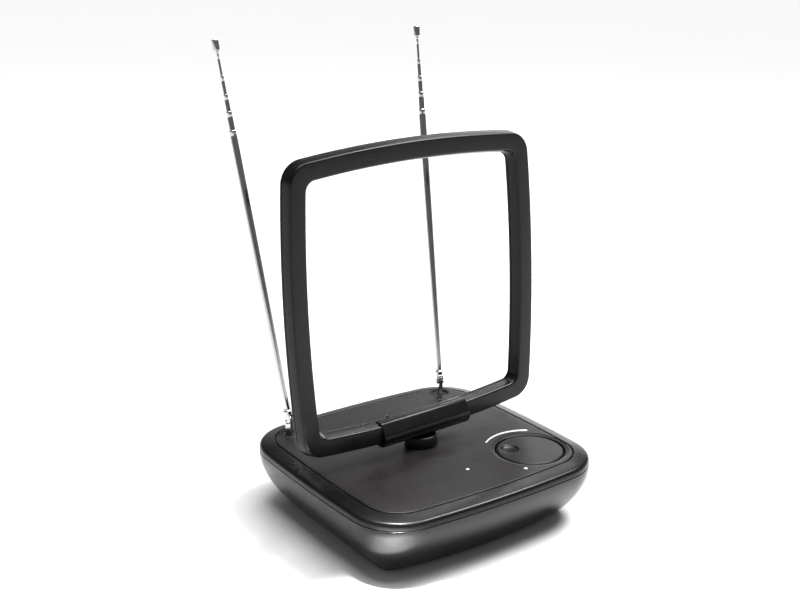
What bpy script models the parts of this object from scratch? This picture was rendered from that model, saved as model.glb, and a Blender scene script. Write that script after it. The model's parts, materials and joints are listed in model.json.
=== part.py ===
"""Amplified indoor television antenna with two telescopic rods and a UHF loop.

A bowl-shaped base stands on rubber feet and holds a ballast plate, the amplifier and its gain dial.
The loop tilts in a sleeve that swivels on the base, and each rod swivels, tilts and telescopes.
The origin is the centre of the base's underside, +Z is up and the front faces -Y.
"""

import math

import bmesh
import bpy
from mathutils import Matrix, Vector

MM = 0.001

# Clearances
GAP = 0.3 * MM  # between pieces that touch or are fastened face to face
RUNNING_GAP = 0.35 * MM  # round a turning spigot or shaft
TUBE_GAP = 0.15 * MM  # between one telescopic tube and the next

# Base
BASE_WIDTH = 180 * MM  # at the rim, side to side
BASE_DEPTH = 174 * MM  # at the rim, front to back
RIM_HEIGHT = 41.5 * MM  # underside to the top of the rolled rim
RIM_ROLL = 2.9 * MM  # radius of the rolled rim
SEAM_BELOW_RIM = 5.1 * MM  # where the top cover meets the housing
CROWN = 1.6 * MM  # how far the cover rises from the rim to the panel
PANEL_INSET = 10 * MM  # rim to the panel's groove
GROOVE = 0.8 * MM  # width of the groove round the panel
RIM_CORNER = 34 * MM
RIM_SIDE_BOW = 1057 * MM  # radius of the bowed left and right edges
RIM_FRONT_BOW = 755 * MM  # radius of the bowed front and back edges
FLOOR_INSET_X = 18.7 * MM  # how far the bowl has drawn in at the floor
FLOOR_INSET_Y = 19.7 * MM
FLOOR_CORNER = 8.2 * MM
FLOOR_SIDE_BOW = 2604 * MM
FLOOR_FRONT_BOW = 333 * MM
BOWL_POWER = 1.57  # 1 is a straight flare, 2 is nearly upright at the rim
SHELL_WALL = 2 * MM
FLOOR_THICKNESS = 3 * MM
DECK_THICKNESS = 2 * MM
PANEL_THICKNESS = 2.2 * MM

# Fasteners, feet and ballast
SCREW_FROM_SIDE = 50 * MM
SCREW_FROM_FRONT = 28 * MM
BOSS_RADIUS = 3.6 * MM
SCREW_HOLE_RADIUS = 1.7 * MM
SCREW_RADIUS = 1.35 * MM
SCREW_LENGTH = 12 * MM
SCREW_HEAD_RADIUS = 2.9 * MM
SCREW_HEAD_HEIGHT = 1.3 * MM
HEAD_POCKET = 1.8 * MM  # depth of the pocket that hides a screw head
FOOT_FROM_SIDE = 34 * MM
FOOT_FROM_FRONT = 33 * MM
FOOT_RADIUS = 6.5 * MM
FOOT_STANDS_PROUD = 1.5 * MM
FOOT_POCKET = 1.0 * MM
BALLAST_FROM_ENDS = 35 * MM
BALLAST_THICKNESS = 6 * MM
BALLAST_CLEARANCE = 1 * MM  # beside the circuit board

# Gain dial and amplifier
DIAL_FROM_SIDE = 37.2 * MM
DIAL_FROM_FRONT = 38.45 * MM
DIAL_RADIUS = 22.4 * MM
DIAL_SUNK = 0.5 * MM  # dial face below the panel
DIAL_THICKNESS = 4 * MM
DIAL_CHAMFER = 1.4 * MM  # bevel round the dial's recess
DIMPLE_FROM_CENTRE = 13 * MM
DIMPLE_ANGLE = math.radians(141)
DIMPLE_RADIUS = 5 * MM
DIMPLE_DEPTH = 1.5 * MM
SHAFT_RADIUS = 3 * MM
HUB_RADIUS = 5.5 * MM
POT_RADIUS = 8.5 * MM
POT_HEIGHT = 7 * MM
BOARD_WIDTH = 42 * MM
BOARD_DEPTH = 57 * MM
BOARD_FROM_SIDE = 24 * MM
BOARD_FROM_FRONT = 13.1 * MM
BOARD_HEIGHT = 16 * MM  # its underside above the base's underside
BOARD_THICKNESS = 1.6 * MM
STANDOFF_RADIUS = 2.6 * MM
STANDOFF_INSET = 4.5 * MM  # from the board's edges
SHIELD_SIZE = (26 * MM, 15 * MM, 8 * MM)
LAMP_OFF_DIAL = (-21.1 * MM, -20.3 * MM)
LIGHT_PIPE_RADIUS = 1.25 * MM
LAMP_RADIUS = 2.4 * MM
LAMP_HEIGHT = 7 * MM

# Sockets in the back wall
SOCKET_HEIGHT = 21 * MM
COAX_X = -22 * MM
COAX_THREAD_RADIUS = 4.7 * MM
COAX_BORE_RADIUS = 1.9 * MM
COAX_STANDS_PROUD = 9 * MM
COAX_INSIDE = 9 * MM
POWER_X = 22 * MM
POWER_RADIUS = 4 * MM
POWER_BORE_RADIUS = 1.8 * MM
POWER_INSIDE = 12 * MM

# Loop
LOOP_HALF_WIDTH = 97.4 * MM
LOOP_HALF_HEIGHT = 96.7 * MM
LOOP_SIDE_BOW = 983 * MM
LOOP_TOP_BOW = 797 * MM
LOOP_CORNER = 15.2 * MM
LOOP_INNER_CORNER = 6.2 * MM
BAR_WIDTH = 15 * MM  # of the frame's bar, at its back
BAR_DEPTH = 9.4 * MM
BAR_OUTER_SLANT = 1.7 * MM
BAR_INNER_SLANT = 2.2 * MM
BAR_EDGE = 1.6 * MM  # rounding of the bar's front edges
BAR_WALL = 1.6 * MM
BAR_PARTING = 2.4 * MM  # front and rear halves meet this far behind the middle
STRIP_WIDTH = 5 * MM
STRIP_THICKNESS = 0.8 * MM
LOOP_LEAN = math.radians(-3.3)
LOOP_SWIVEL = math.radians(2.3)
LOOP_PLACE_Y = 1.3 * MM

# Sleeve, post and tilt axle
SLEEVE_LENGTH = 70 * MM
SLEEVE_DEPTH = 17 * MM
SLEEVE_HEIGHT = 16.4 * MM
SLEEVE_WALL = 2.2 * MM
SLEEVE_SCREW_X = 22 * MM
POST_RADIUS = 11 * MM
POST_HEIGHT = 6.9 * MM  # panel to sleeve
SPIGOT_RADIUS = 7 * MM
POST_BORE_RADIUS = 1.9 * MM
RING_THICKNESS = 1 * MM
AXLE_RADIUS = 2.4 * MM
AXLE_GRIP = 10 * MM  # how far the axle reaches into each end of the loop's bar
WASHER_RADIUS = 4.4 * MM
WASHER_THICKNESS = 1.2 * MM

# Rods
ROD_FROM_SIDE = 27.1 * MM
ROD_FROM_BACK = 19.575 * MM
ROD_SPLAY = math.radians(16.7)  # each rod's lean points this far outward from straight back
ROD_LEAN = math.radians(12.6)
PIVOT_HEIGHT = 10 * MM  # hinge pin above the panel
TUBE_START = 8 * MM  # hinge pin to the bottom of the outer tube
TUBE_LENGTH = 186.5 * MM
TUBE_RADII = [2.5 * MM, 2.05 * MM, 1.62 * MM, 1.2 * MM, 0.8 * MM]
TUBE_STEPS = [12 * MM, 11 * MM, 12 * MM, 14 * MM]  # how far each inner tube shows when pushed in
SPIGOT_REACH = 3 * MM  # of the knuckle into the outer tube
TUBE_RISE = 1 * MM  # from the bottom of one tube to the bottom of the tube inside it
TIP_RADIUS = 2.4 * MM
TIP_LENGTH = 8.5 * MM
KNUCKLE_RADIUS = 3.2 * MM
KNUCKLE_SLOT = 3.5 * MM
TONGUE_THICKNESS = 2.9 * MM
TONGUE_WIDTH = 5.2 * MM
PIN_RADIUS = 0.9 * MM
BUSH_RADIUS = 7 * MM
BUSH_DISH_RADIUS = 5.6 * MM
BUSH_DISH = 1.4 * MM
STEM_RADIUS = 2.6 * MM

# Places and heights that follow from the sizes above


def rim_edge(across):
    """How far the bowed front and back edges stand from the middle, at a distance across."""
    return BASE_DEPTH / 2 - RIM_FRONT_BOW + math.sqrt(RIM_FRONT_BOW**2 - across**2)


SEAM_HEIGHT = RIM_HEIGHT - SEAM_BELOW_RIM
FOOT_X = BASE_WIDTH / 2 - FOOT_FROM_SIDE
FOOT_Y = BASE_DEPTH / 2 - FOOT_FROM_FRONT
DIAL_X = BASE_WIDTH / 2 - DIAL_FROM_SIDE
DIAL_Y = DIAL_FROM_FRONT - rim_edge(DIAL_X)
LAMP_X = DIAL_X + LAMP_OFF_DIAL[0]
LAMP_Y = DIAL_Y + LAMP_OFF_DIAL[1]
BOARD_RIGHT = BASE_WIDTH / 2 - BOARD_FROM_SIDE
BOARD_FRONT = BOARD_FROM_FRONT - rim_edge(BOARD_RIGHT)
BALLAST_WIDTH = 2 * (BOARD_RIGHT - BOARD_WIDTH - BALLAST_CLEARANCE)
BALLAST_DEPTH = BASE_DEPTH - 2 * BALLAST_FROM_ENDS
SCREW_X = BASE_WIDTH / 2 - SCREW_FROM_SIDE
SCREW_Y = BASE_DEPTH / 2 - SCREW_FROM_FRONT
# The front right screw stands clear of the board, beside its left edge.
BOARD_SCREW_X = BOARD_RIGHT - BOARD_WIDTH - BOSS_RADIUS - 2 * MM
SCREW_PLACES = [(-SCREW_X, -SCREW_Y), (BOARD_SCREW_X, -SCREW_Y), (-SCREW_X, SCREW_Y),
                (SCREW_X, SCREW_Y)]
ROD_X = BASE_WIDTH / 2 - ROD_FROM_SIDE
ROD_Y = rim_edge(ROD_X) - ROD_FROM_BACK
ROD_PLACES = [(-ROD_X, ROD_Y), (ROD_X, ROD_Y)]
PANEL_TOP = RIM_HEIGHT + CROWN
PANEL_UNDER = PANEL_TOP - PANEL_THICKNESS
DECK_TOP = PANEL_UNDER - GAP
DECK_UNDER = DECK_TOP - DECK_THICKNESS
BOARD_TOP = BOARD_HEIGHT + BOARD_THICKNESS
SLEEVE_UNDER = PANEL_TOP + GAP + POST_HEIGHT + GAP
AXLE_HEIGHT = SLEEVE_UNDER + SLEEVE_HEIGHT / 2
PIVOT_Z = PANEL_TOP + PIVOT_HEIGHT
LOOP_GAP = SLEEVE_LENGTH / 2 + GAP  # half the opening in the loop's bottom bar

# Facets
SIDE_STEPS = 3
CORNER_STEPS = 5
ROUND = 20
SMALL_ROUND = 12
DIAL_ROUND = 48


# ---------------------------------------------------------------- scene, materials and meshes


def clear_scene():
    for obj in list(bpy.data.objects):
        bpy.data.objects.remove(obj, do_unlink=True)


def new_collection(name):
    collection = bpy.data.collections.new(name)
    bpy.context.scene.collection.children.link(collection)
    return collection


def finish_of(name, colour, roughness, metallic=0.0):
    material = bpy.data.materials.new(name)
    material.use_nodes = True
    shader = material.node_tree.nodes["Principled BSDF"]
    shader.inputs["Base Color"].default_value = (*colour, 1)
    shader.inputs["Roughness"].default_value = roughness
    shader.inputs["Metallic"].default_value = metallic
    return material


def add_piece(name, mesh, finish, parent=None, smooth=True):
    """Puts a mesh in the antenna's collection as one named piece."""
    obj = bpy.data.objects.new(name, mesh)
    PIECES.objects.link(obj)
    mesh.materials.append(finish)
    if smooth:
        mesh.shade_smooth()
        mesh.set_sharp_from_angle(angle=math.radians(35))
    obj.parent = parent
    return obj


def add_tool(name, mesh):
    """A shape that is only cut from, or joined to, a piece."""
    obj = bpy.data.objects.new(name, mesh)
    TOOLS.objects.link(obj)
    obj.hide_render = True
    obj.display_type = "WIRE"
    return obj


def combine(obj, tool, operation):
    modifier = obj.modifiers.new(f"{operation.lower()}_{tool.name}", "BOOLEAN")
    modifier.operation = operation
    modifier.solver = "EXACT"
    modifier.object = tool


def cut(obj, tool):
    combine(obj, tool, "DIFFERENCE")


def join(obj, tool):
    combine(obj, tool, "UNION")


def mesh_from(name, build):
    """A mesh filled by build(bm), with its normals pointing out."""
    bm = bmesh.new()
    build(bm)
    bmesh.ops.recalc_face_normals(bm, faces=bm.faces)
    mesh = bpy.data.meshes.new(name)
    bm.to_mesh(mesh)
    bm.free()
    return mesh


def box_mesh(name, low, high):
    centre = (Vector(low) + Vector(high)) / 2
    size = Vector(high) - Vector(low)
    place = Matrix.Translation(centre) @ Matrix.Diagonal((*size, 1))
    return mesh_from(name, lambda bm: bmesh.ops.create_cube(bm, size=1, matrix=place))


def rod_mesh(name, places, radius, low, high, segments=SMALL_ROUND, turn=None):
    """Upright cylinders at the given (x, y) places, all in one mesh, then turned as a whole."""

    def build(bm):
        for x, y in places:
            place = Matrix.Translation((x, y, (low + high) / 2))
            bmesh.ops.create_cone(
                bm, cap_ends=True, segments=segments, radius1=radius, radius2=radius,
                depth=high - low, matrix=(turn or Matrix()) @ place,
            )

    return mesh_from(name, build)


def loft_mesh(name, rings, closed=False, caps=True):
    """Skins a list of equal rings of points. Closed joins the last ring to the first."""

    def build(bm):
        rows = [[bm.verts.new(point) for point in ring] for ring in rings]
        pairs = list(zip(rows, rows[1:] + rows[:1])) if closed else list(zip(rows, rows[1:]))
        count = len(rows[0])
        for first, second in pairs:
            for i in range(count):
                j = (i + 1) % count
                bm.faces.new((first[i], first[j], second[j], second[i]))
        if caps and not closed:
            bm.faces.new(rows[0])
            bm.faces.new(rows[-1])

    return mesh_from(name, build)


def turned_piece(name, profile, finish=None, parent=None, segments=ROUND, closed=False, place=None):
    """A profile of (radius, height) points turned about Z by a Screw modifier.

    The profile runs down the outer side. A closed one comes back up the inside, so it has a bore.
    """
    mesh = bpy.data.meshes.new(name)
    points = [(radius, 0, height) for radius, height in profile]
    edges = [(i, i + 1) for i in range(len(points) - 1)]
    if closed:
        edges.append((len(points) - 1, 0))
    mesh.from_pydata(points, edges, [])
    obj = add_piece(name, mesh, finish, parent, smooth=False) if finish else add_tool(name, mesh)
    screw = obj.modifiers.new("turn", "SCREW")
    screw.steps = segments
    screw.render_steps = segments
    screw.use_merge_vertices = True
    screw.merge_threshold = 1e-6
    screw.use_smooth_shade = True
    if place is not None:
        obj.location = place
    return obj


def add_pivot(name, location, turn=(0, 0, 0), parent=None):
    """An empty on a joint's axis, which carries the pieces that move about it."""
    empty = bpy.data.objects.new(name, None)
    PIECES.objects.link(empty)
    empty.empty_display_size = 10 * MM
    empty.location = location
    empty.rotation_euler = turn
    empty.parent = parent
    return empty


# ---------------------------------------------------------------- outlines


def arc(centre_x, centre_y, radius, start, end, steps):
    angles = [start + (end - start) * i / steps for i in range(steps + 1)]
    return [(centre_x + radius * math.cos(a), centre_y + radius * math.sin(a)) for a in angles]


def bowed_quarter(half_x, half_y, bow_x, bow_y, corner, stop_x=0.0):
    """From the middle of the right side to the top side's middle, or to where it reaches stop_x.

    Each side is an arc of its bow radius, and the corner is an arc that touches both of them.
    """
    right = Vector((half_x - bow_x, 0))
    top = Vector((0, half_y - bow_y))
    reach_right = bow_x - corner
    reach_top = bow_y - corner
    between = top - right
    span = between.length
    along = (reach_right**2 - reach_top**2 + span**2) / (2 * span)
    across = math.sqrt(reach_right**2 - along**2)
    unit = between / span
    middle = right + unit * along + Vector((unit.y, -unit.x)) * across
    if middle.x < 0 or middle.y < 0:
        middle = right + unit * along - Vector((unit.y, -unit.x)) * across
    side_angle = math.atan2(middle.y - right.y, middle.x - right.x)
    top_angle = math.atan2(middle.y - top.y, middle.x - top.x)
    side = arc(*right, bow_x, 0, side_angle, SIDE_STEPS)
    bend = arc(*middle, corner, side_angle, top_angle, CORNER_STEPS)
    lid = arc(*top, bow_y, top_angle, math.acos(stop_x / bow_y), SIDE_STEPS)
    return side[:-1] + bend[:-1] + lid


def bowed_outline(half_x, half_y, bow_x, bow_y, corner):
    """A closed rounded rectangle with four bowed sides, anticlockwise from the right."""
    quarter = bowed_quarter(half_x, half_y, bow_x, bow_y, corner)
    left = [(-x, y) for x, y in reversed(quarter[:-1])]
    upper = quarter + left
    lower = [(x, -y) for x, y in reversed(upper[1:-1])]
    return upper + lower


def rim_ring(inset, height):
    """The base's rim outline, drawn in by inset."""
    outline = bowed_outline(
        BASE_WIDTH / 2 - inset, BASE_DEPTH / 2 - inset,
        RIM_SIDE_BOW - inset, RIM_FRONT_BOW - inset, RIM_CORNER - inset,
    )
    return [(x, y, height) for x, y in outline]


def bowl_draw(height):
    """How far the bowl has drawn in at a height: 0 at the seam and 1 at the floor."""
    return ((SEAM_HEIGHT - height) / SEAM_HEIGHT) ** BOWL_POWER


def bowl_ring(height, wall=0.0):
    """The housing's outline at a height, which blends from the rim's shape to the floor's."""
    drop = (SEAM_HEIGHT - height) / SEAM_HEIGHT
    draw = bowl_draw(height)
    outline = bowed_outline(
        BASE_WIDTH / 2 - FLOOR_INSET_X * draw - wall,
        BASE_DEPTH / 2 - FLOOR_INSET_Y * draw - wall,
        RIM_SIDE_BOW + (FLOOR_SIDE_BOW - RIM_SIDE_BOW) * drop - wall,
        RIM_FRONT_BOW + (FLOOR_FRONT_BOW - RIM_FRONT_BOW) * drop - wall,
        RIM_CORNER + (FLOOR_CORNER - RIM_CORNER) * drop - wall,
    )
    return [(x, y, height) for x, y in outline]


def back_wall_y(height, across=0.0):
    """The outside of the bowed back wall at a height and a distance from the middle."""
    drop = (SEAM_HEIGHT - height) / SEAM_HEIGHT
    bow = RIM_FRONT_BOW + (FLOOR_FRONT_BOW - RIM_FRONT_BOW) * drop
    middle = BASE_DEPTH / 2 - FLOOR_INSET_Y * bowl_draw(height)
    return middle - bow + math.sqrt(bow**2 - across**2)


# ---------------------------------------------------------------- base shells


def make_housing():
    """The glossy bowl: its wall, floor, board standoffs, and the holes for sockets and screws."""
    heights = [SEAM_HEIGHT * (1 - drop) for drop in (1, 0.9, 0.74, 0.55, 0.35, 0.15, 0)]
    outside = [bowl_ring(height) for height in heights]
    inside = [bowl_ring(height, SHELL_WALL) for height in reversed(heights[1:])]
    inside.append(bowl_ring(FLOOR_THICKNESS, SHELL_WALL))
    mesh = loft_mesh("base_housing", outside + [r for r in inside if r[0][2] >= FLOOR_THICKNESS])
    housing = add_piece("base_housing", mesh, GLOSS_BLACK)

    board_back = BOARD_FRONT + BOARD_DEPTH - STANDOFF_INSET
    places = [
        (BOARD_RIGHT - STANDOFF_INSET, board_back),
        (BOARD_RIGHT - BOARD_WIDTH + STANDOFF_INSET, board_back),
        (BOARD_RIGHT - BOARD_WIDTH / 2, BOARD_FRONT + 2 * STANDOFF_INSET),
    ]
    standoffs = rod_mesh("standoffs", places, STANDOFF_RADIUS, FLOOR_THICKNESS - 1 * MM,
                         BOARD_HEIGHT - GAP)
    join(housing, add_tool("standoffs", standoffs))
    cut(housing, add_tool("screw_head_pockets", rod_mesh(
        "screw_head_pockets", SCREW_PLACES, SCREW_HEAD_RADIUS + GAP, -1 * MM, HEAD_POCKET)))
    cut(housing, add_tool("floor_screw_holes", rod_mesh(
        "floor_screw_holes", SCREW_PLACES, SCREW_HOLE_RADIUS, HEAD_POCKET - 1 * MM,
        FLOOR_THICKNESS + 1 * MM)))
    feet = [(x * FOOT_X, y * FOOT_Y) for x in (-1, 1) for y in (-1, 1)]
    cut(housing, add_tool("foot_pockets", rod_mesh(
        "foot_pockets", feet, FOOT_RADIUS + GAP, -1 * MM, FOOT_POCKET, ROUND)))
    for name, x, radius in (("coax_hole", COAX_X, COAX_THREAD_RADIUS),
                            ("power_hole", POWER_X, POWER_RADIUS)):
        cut(housing, socket_tool(name, x, radius + GAP))


def along_y(x, height):
    """Turns an upright shape so that its +Z points back along +Y, at a place on the back wall."""
    return Matrix.Translation((x, 0, height)) @ Matrix.Rotation(-math.pi / 2, 4, "X")


def socket_tool(name, x, radius):
    wall = back_wall_y(SOCKET_HEIGHT)
    mesh = rod_mesh(name, [(0, 0)], radius, wall - 12 * MM, wall + 6 * MM, ROUND,
                    along_y(x, SOCKET_HEIGHT))
    return add_tool(name, mesh)


def make_top_cover():
    """The bezel with its rolled rim, the deck under the panel, and four screw bosses."""
    rings = [rim_ring(SHELL_WALL, SEAM_HEIGHT + GAP), rim_ring(0, SEAM_HEIGHT + GAP)]
    for angle in (0, 30, 60, 90):
        turn = math.radians(angle)
        rings.append(rim_ring(RIM_ROLL * (1 - math.cos(turn)),
                              RIM_HEIGHT - RIM_ROLL * (1 - math.sin(turn))))
    rings.append(rim_ring(PANEL_INSET, PANEL_TOP))
    rings.append(rim_ring(PANEL_INSET, DECK_TOP))
    underside = rim_ring(SHELL_WALL + RIM_ROLL / 2, DECK_UNDER)
    cover = add_piece("top_cover", loft_mesh("top_cover", [underside] + rings), SATIN_BLACK)

    join(cover, add_tool("bosses", rod_mesh(
        "bosses", SCREW_PLACES, BOSS_RADIUS, FLOOR_THICKNESS + GAP, DECK_UNDER + 1 * MM)))
    cut(cover, add_tool("boss_holes", rod_mesh(
        "boss_holes", SCREW_PLACES, SCREW_HOLE_RADIUS, FLOOR_THICKNESS - 1 * MM,
        FLOOR_THICKNESS + SCREW_LENGTH + 1 * MM)))
    cut(cover, DIAL_WELL)
    cut(cover, SPIGOT_HOLE)
    cut(cover, LIGHT_PIPE_HOLE)
    bush_holes = rod_mesh("deck_bush_holes", ROD_PLACES, BUSH_RADIUS - 1 * MM + GAP,
                          DECK_UNDER - 1 * MM, DECK_TOP + 1 * MM, ROUND)
    cut(cover, add_tool("deck_bush_holes", bush_holes))


def make_top_panel():
    """The matt panel inside the groove, with a chamfered recess for the dial."""
    inset = PANEL_INSET + GROOVE
    edge = 0.4 * MM
    rings = [rim_ring(inset, PANEL_UNDER), rim_ring(inset, PANEL_TOP - edge),
             rim_ring(inset + edge, PANEL_TOP)]
    panel = add_piece("top_panel", loft_mesh("top_panel", rings), MATT_BLACK)
    cut(panel, DIAL_WELL)
    cut(panel, DIAL_COUNTERSINK)
    cut(panel, SPIGOT_HOLE)
    cut(panel, LIGHT_PIPE_HOLE)
    bush_holes = rod_mesh("panel_bush_holes", ROD_PLACES, BUSH_RADIUS + GAP,
                          PANEL_UNDER - 1 * MM, PANEL_TOP + 1 * MM, ROUND)
    cut(panel, add_tool("panel_bush_holes", bush_holes))


def make_shared_holes():
    """Holes that go through both the deck and the panel."""
    low, high = DECK_UNDER - 1 * MM, PANEL_TOP + 1 * MM
    well = add_tool("dial_well", rod_mesh(
        "dial_well", [(DIAL_X, DIAL_Y)], DIAL_RADIUS + RUNNING_GAP, low, high, DIAL_ROUND))
    spigot = add_tool("spigot_hole", rod_mesh(
        "spigot_hole", [(0, LOOP_PLACE_Y)], SPIGOT_RADIUS + RUNNING_GAP, low, high, ROUND))
    pipe = add_tool("light_pipe_hole", rod_mesh(
        "light_pipe_hole", [(LAMP_X, LAMP_Y)], LIGHT_PIPE_RADIUS + GAP, low, high))

    def cone(bm):
        rise = 2 * DIAL_CHAMFER
        bmesh.ops.create_cone(
            bm, cap_ends=True, segments=DIAL_ROUND,
            radius1=DIAL_RADIUS + RUNNING_GAP - rise + DIAL_CHAMFER,
            radius2=DIAL_RADIUS + RUNNING_GAP + rise, depth=rise + DIAL_CHAMFER,
            matrix=Matrix.Translation((DIAL_X, DIAL_Y, PANEL_TOP)),
        )

    countersink = add_tool("dial_countersink", mesh_from("dial_countersink", cone))
    return well, spigot, pipe, countersink


def make_feet_and_screws():
    for side_name, side in (("left", -1), ("right", 1)):
        for end_name, end in (("front", -1), ("rear", 1)):
            turned_piece(
                f"foot_{end_name}_{side_name}",
                [(0, FOOT_POCKET - GAP), (FOOT_RADIUS, FOOT_POCKET - GAP),
                 (FOOT_RADIUS, 0.5 * MM - FOOT_STANDS_PROUD),
                 (FOOT_RADIUS - 0.8 * MM, -FOOT_STANDS_PROUD), (0, -FOOT_STANDS_PROUD)],
                RUBBER, segments=ROUND, place=(side * FOOT_X, end * FOOT_Y, 0),
            )
    head_top = HEAD_POCKET - GAP
    for number, (x, y) in enumerate(SCREW_PLACES, 1):
        turned_piece(
            f"case_screw_{number}",
            [(0, head_top + SCREW_LENGTH), (SCREW_RADIUS * 0.6, head_top + SCREW_LENGTH),
             (SCREW_RADIUS, head_top + SCREW_LENGTH - 1.5 * MM), (SCREW_RADIUS, head_top),
             (SCREW_HEAD_RADIUS, head_top), (SCREW_HEAD_RADIUS, head_top - SCREW_HEAD_HEIGHT * 0.6),
             (SCREW_HEAD_RADIUS * 0.7, head_top - SCREW_HEAD_HEIGHT),
             (0, head_top - SCREW_HEAD_HEIGHT)],
            ZINC, segments=SMALL_ROUND, place=(x, y, 0),
        )


def make_ballast():
    low = FLOOR_THICKNESS + GAP
    mesh = box_mesh("ballast_plate", (-BALLAST_WIDTH / 2, -BALLAST_DEPTH / 2, low),
                    (BALLAST_WIDTH / 2, BALLAST_DEPTH / 2, low + BALLAST_THICKNESS))
    plate = add_piece("ballast_plate", mesh, STEEL, smooth=False)
    bevel = plate.modifiers.new("broken_edges", "BEVEL")
    bevel.width = 0.6 * MM
    bevel.segments = 1


# ---------------------------------------------------------------- amplifier, dial and sockets


def make_amplifier():
    board_back = BOARD_FRONT + BOARD_DEPTH
    board = box_mesh("circuit_board", (BOARD_RIGHT - BOARD_WIDTH, BOARD_FRONT, BOARD_HEIGHT),
                     (BOARD_RIGHT, board_back, BOARD_TOP))
    add_piece("circuit_board", board, BOARD_GREEN, smooth=False)

    width, depth, height = SHIELD_SIZE
    centre_x = BOARD_RIGHT - BOARD_WIDTH / 2
    back = board_back - 2 * MM
    low = BOARD_TOP + GAP
    shield = add_piece("amplifier_shield", box_mesh(
        "amplifier_shield", (centre_x - width / 2, back - depth, low),
        (centre_x + width / 2, back, low + height)), TIN, smooth=False)
    bevel = shield.modifiers.new("folded_edges", "BEVEL")
    bevel.width = 0.8 * MM
    bevel.segments = 2

    pot_top = low + POT_HEIGHT
    bushing = 3.6 * MM
    turned_piece("gain_potentiometer",
                 [(SHAFT_RADIUS + GAP, pot_top + 3 * MM), (bushing + 1 * MM, pot_top + 3 * MM),
                  (bushing + 1 * MM, pot_top), (POT_RADIUS, pot_top), (POT_RADIUS, low),
                  (SHAFT_RADIUS + GAP, low)],
                 TIN, closed=True, place=(DIAL_X, DIAL_Y, 0))
    turned_piece("indicator_lamp",
                 [(0, low + LAMP_HEIGHT), (LAMP_RADIUS * 0.6, low + LAMP_HEIGHT - 0.5 * MM),
                  (LAMP_RADIUS, low + LAMP_HEIGHT - 2 * MM), (LAMP_RADIUS, low), (0, low)],
                 LENS_WHITE, segments=SMALL_ROUND, place=(LAMP_X, LAMP_Y, 0))
    collar = LIGHT_PIPE_RADIUS + 0.9 * MM
    lamp_top = low + LAMP_HEIGHT
    turned_piece("light_pipe",
                 [(0, PANEL_TOP + 0.25 * MM), (LIGHT_PIPE_RADIUS * 0.7, PANEL_TOP + 0.2 * MM),
                  (LIGHT_PIPE_RADIUS, PANEL_TOP), (LIGHT_PIPE_RADIUS, DECK_UNDER - GAP),
                  (collar, DECK_UNDER - GAP), (collar, DECK_UNDER - 1.5 * MM),
                  (LIGHT_PIPE_RADIUS, DECK_UNDER - 1.5 * MM),
                  (LIGHT_PIPE_RADIUS, lamp_top + GAP), (0, lamp_top + GAP)],
                 LENS_WHITE, segments=SMALL_ROUND, place=(LAMP_X, LAMP_Y, 0))
    return pot_top + 3 * MM


def make_dial(pot_top):
    """The gain dial with its finger dimple, and the shaft that it turns."""
    axis = add_pivot("gain_dial_axis", (DIAL_X, DIAL_Y, 0))
    face = PANEL_TOP - DIAL_SUNK
    under = face - DIAL_THICKNESS
    edge = 0.7 * MM
    hub_end = pot_top + GAP
    bore = SHAFT_RADIUS + GAP
    dial = turned_piece("gain_dial",
                        [(0, face), (DIAL_RADIUS * 0.5, face), (DIAL_RADIUS - edge, face),
                         (DIAL_RADIUS - edge * 0.3, face - edge * 0.3), (DIAL_RADIUS, face - edge),
                         (DIAL_RADIUS, under), (HUB_RADIUS, under), (HUB_RADIUS, hub_end),
                         (bore, hub_end), (bore, under + 1 * MM), (0, under + 1 * MM)],
                        SATIN_BLACK, axis, DIAL_ROUND)
    ball = (DIMPLE_RADIUS**2 + DIMPLE_DEPTH**2) / (2 * DIMPLE_DEPTH)
    place = Vector((DIAL_X + DIMPLE_FROM_CENTRE * math.cos(DIMPLE_ANGLE),
                    DIAL_Y + DIMPLE_FROM_CENTRE * math.sin(DIMPLE_ANGLE),
                    face - DIMPLE_DEPTH + ball))

    def sphere(bm):
        bmesh.ops.create_uvsphere(bm, u_segments=ROUND, v_segments=ROUND, radius=ball,
                                  matrix=Matrix.Translation(place))

    cut(dial, add_tool("finger_dimple", mesh_from("finger_dimple", sphere)))
    shaft_low = BOARD_TOP + GAP + 1 * MM
    turned_piece("gain_shaft",
                 [(0, under + 1 * MM - GAP), (SHAFT_RADIUS, under + 1 * MM - GAP),
                  (SHAFT_RADIUS, shaft_low), (0, shaft_low)],
                 BRASS, axis, SMALL_ROUND)


def flange_face(across, radius):
    """Where a socket's inner flange may start: just inside the wall's lowest and innermost edge."""
    return back_wall_y(SOCKET_HEIGHT - radius, abs(across) + radius) - SHELL_WALL - GAP


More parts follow.
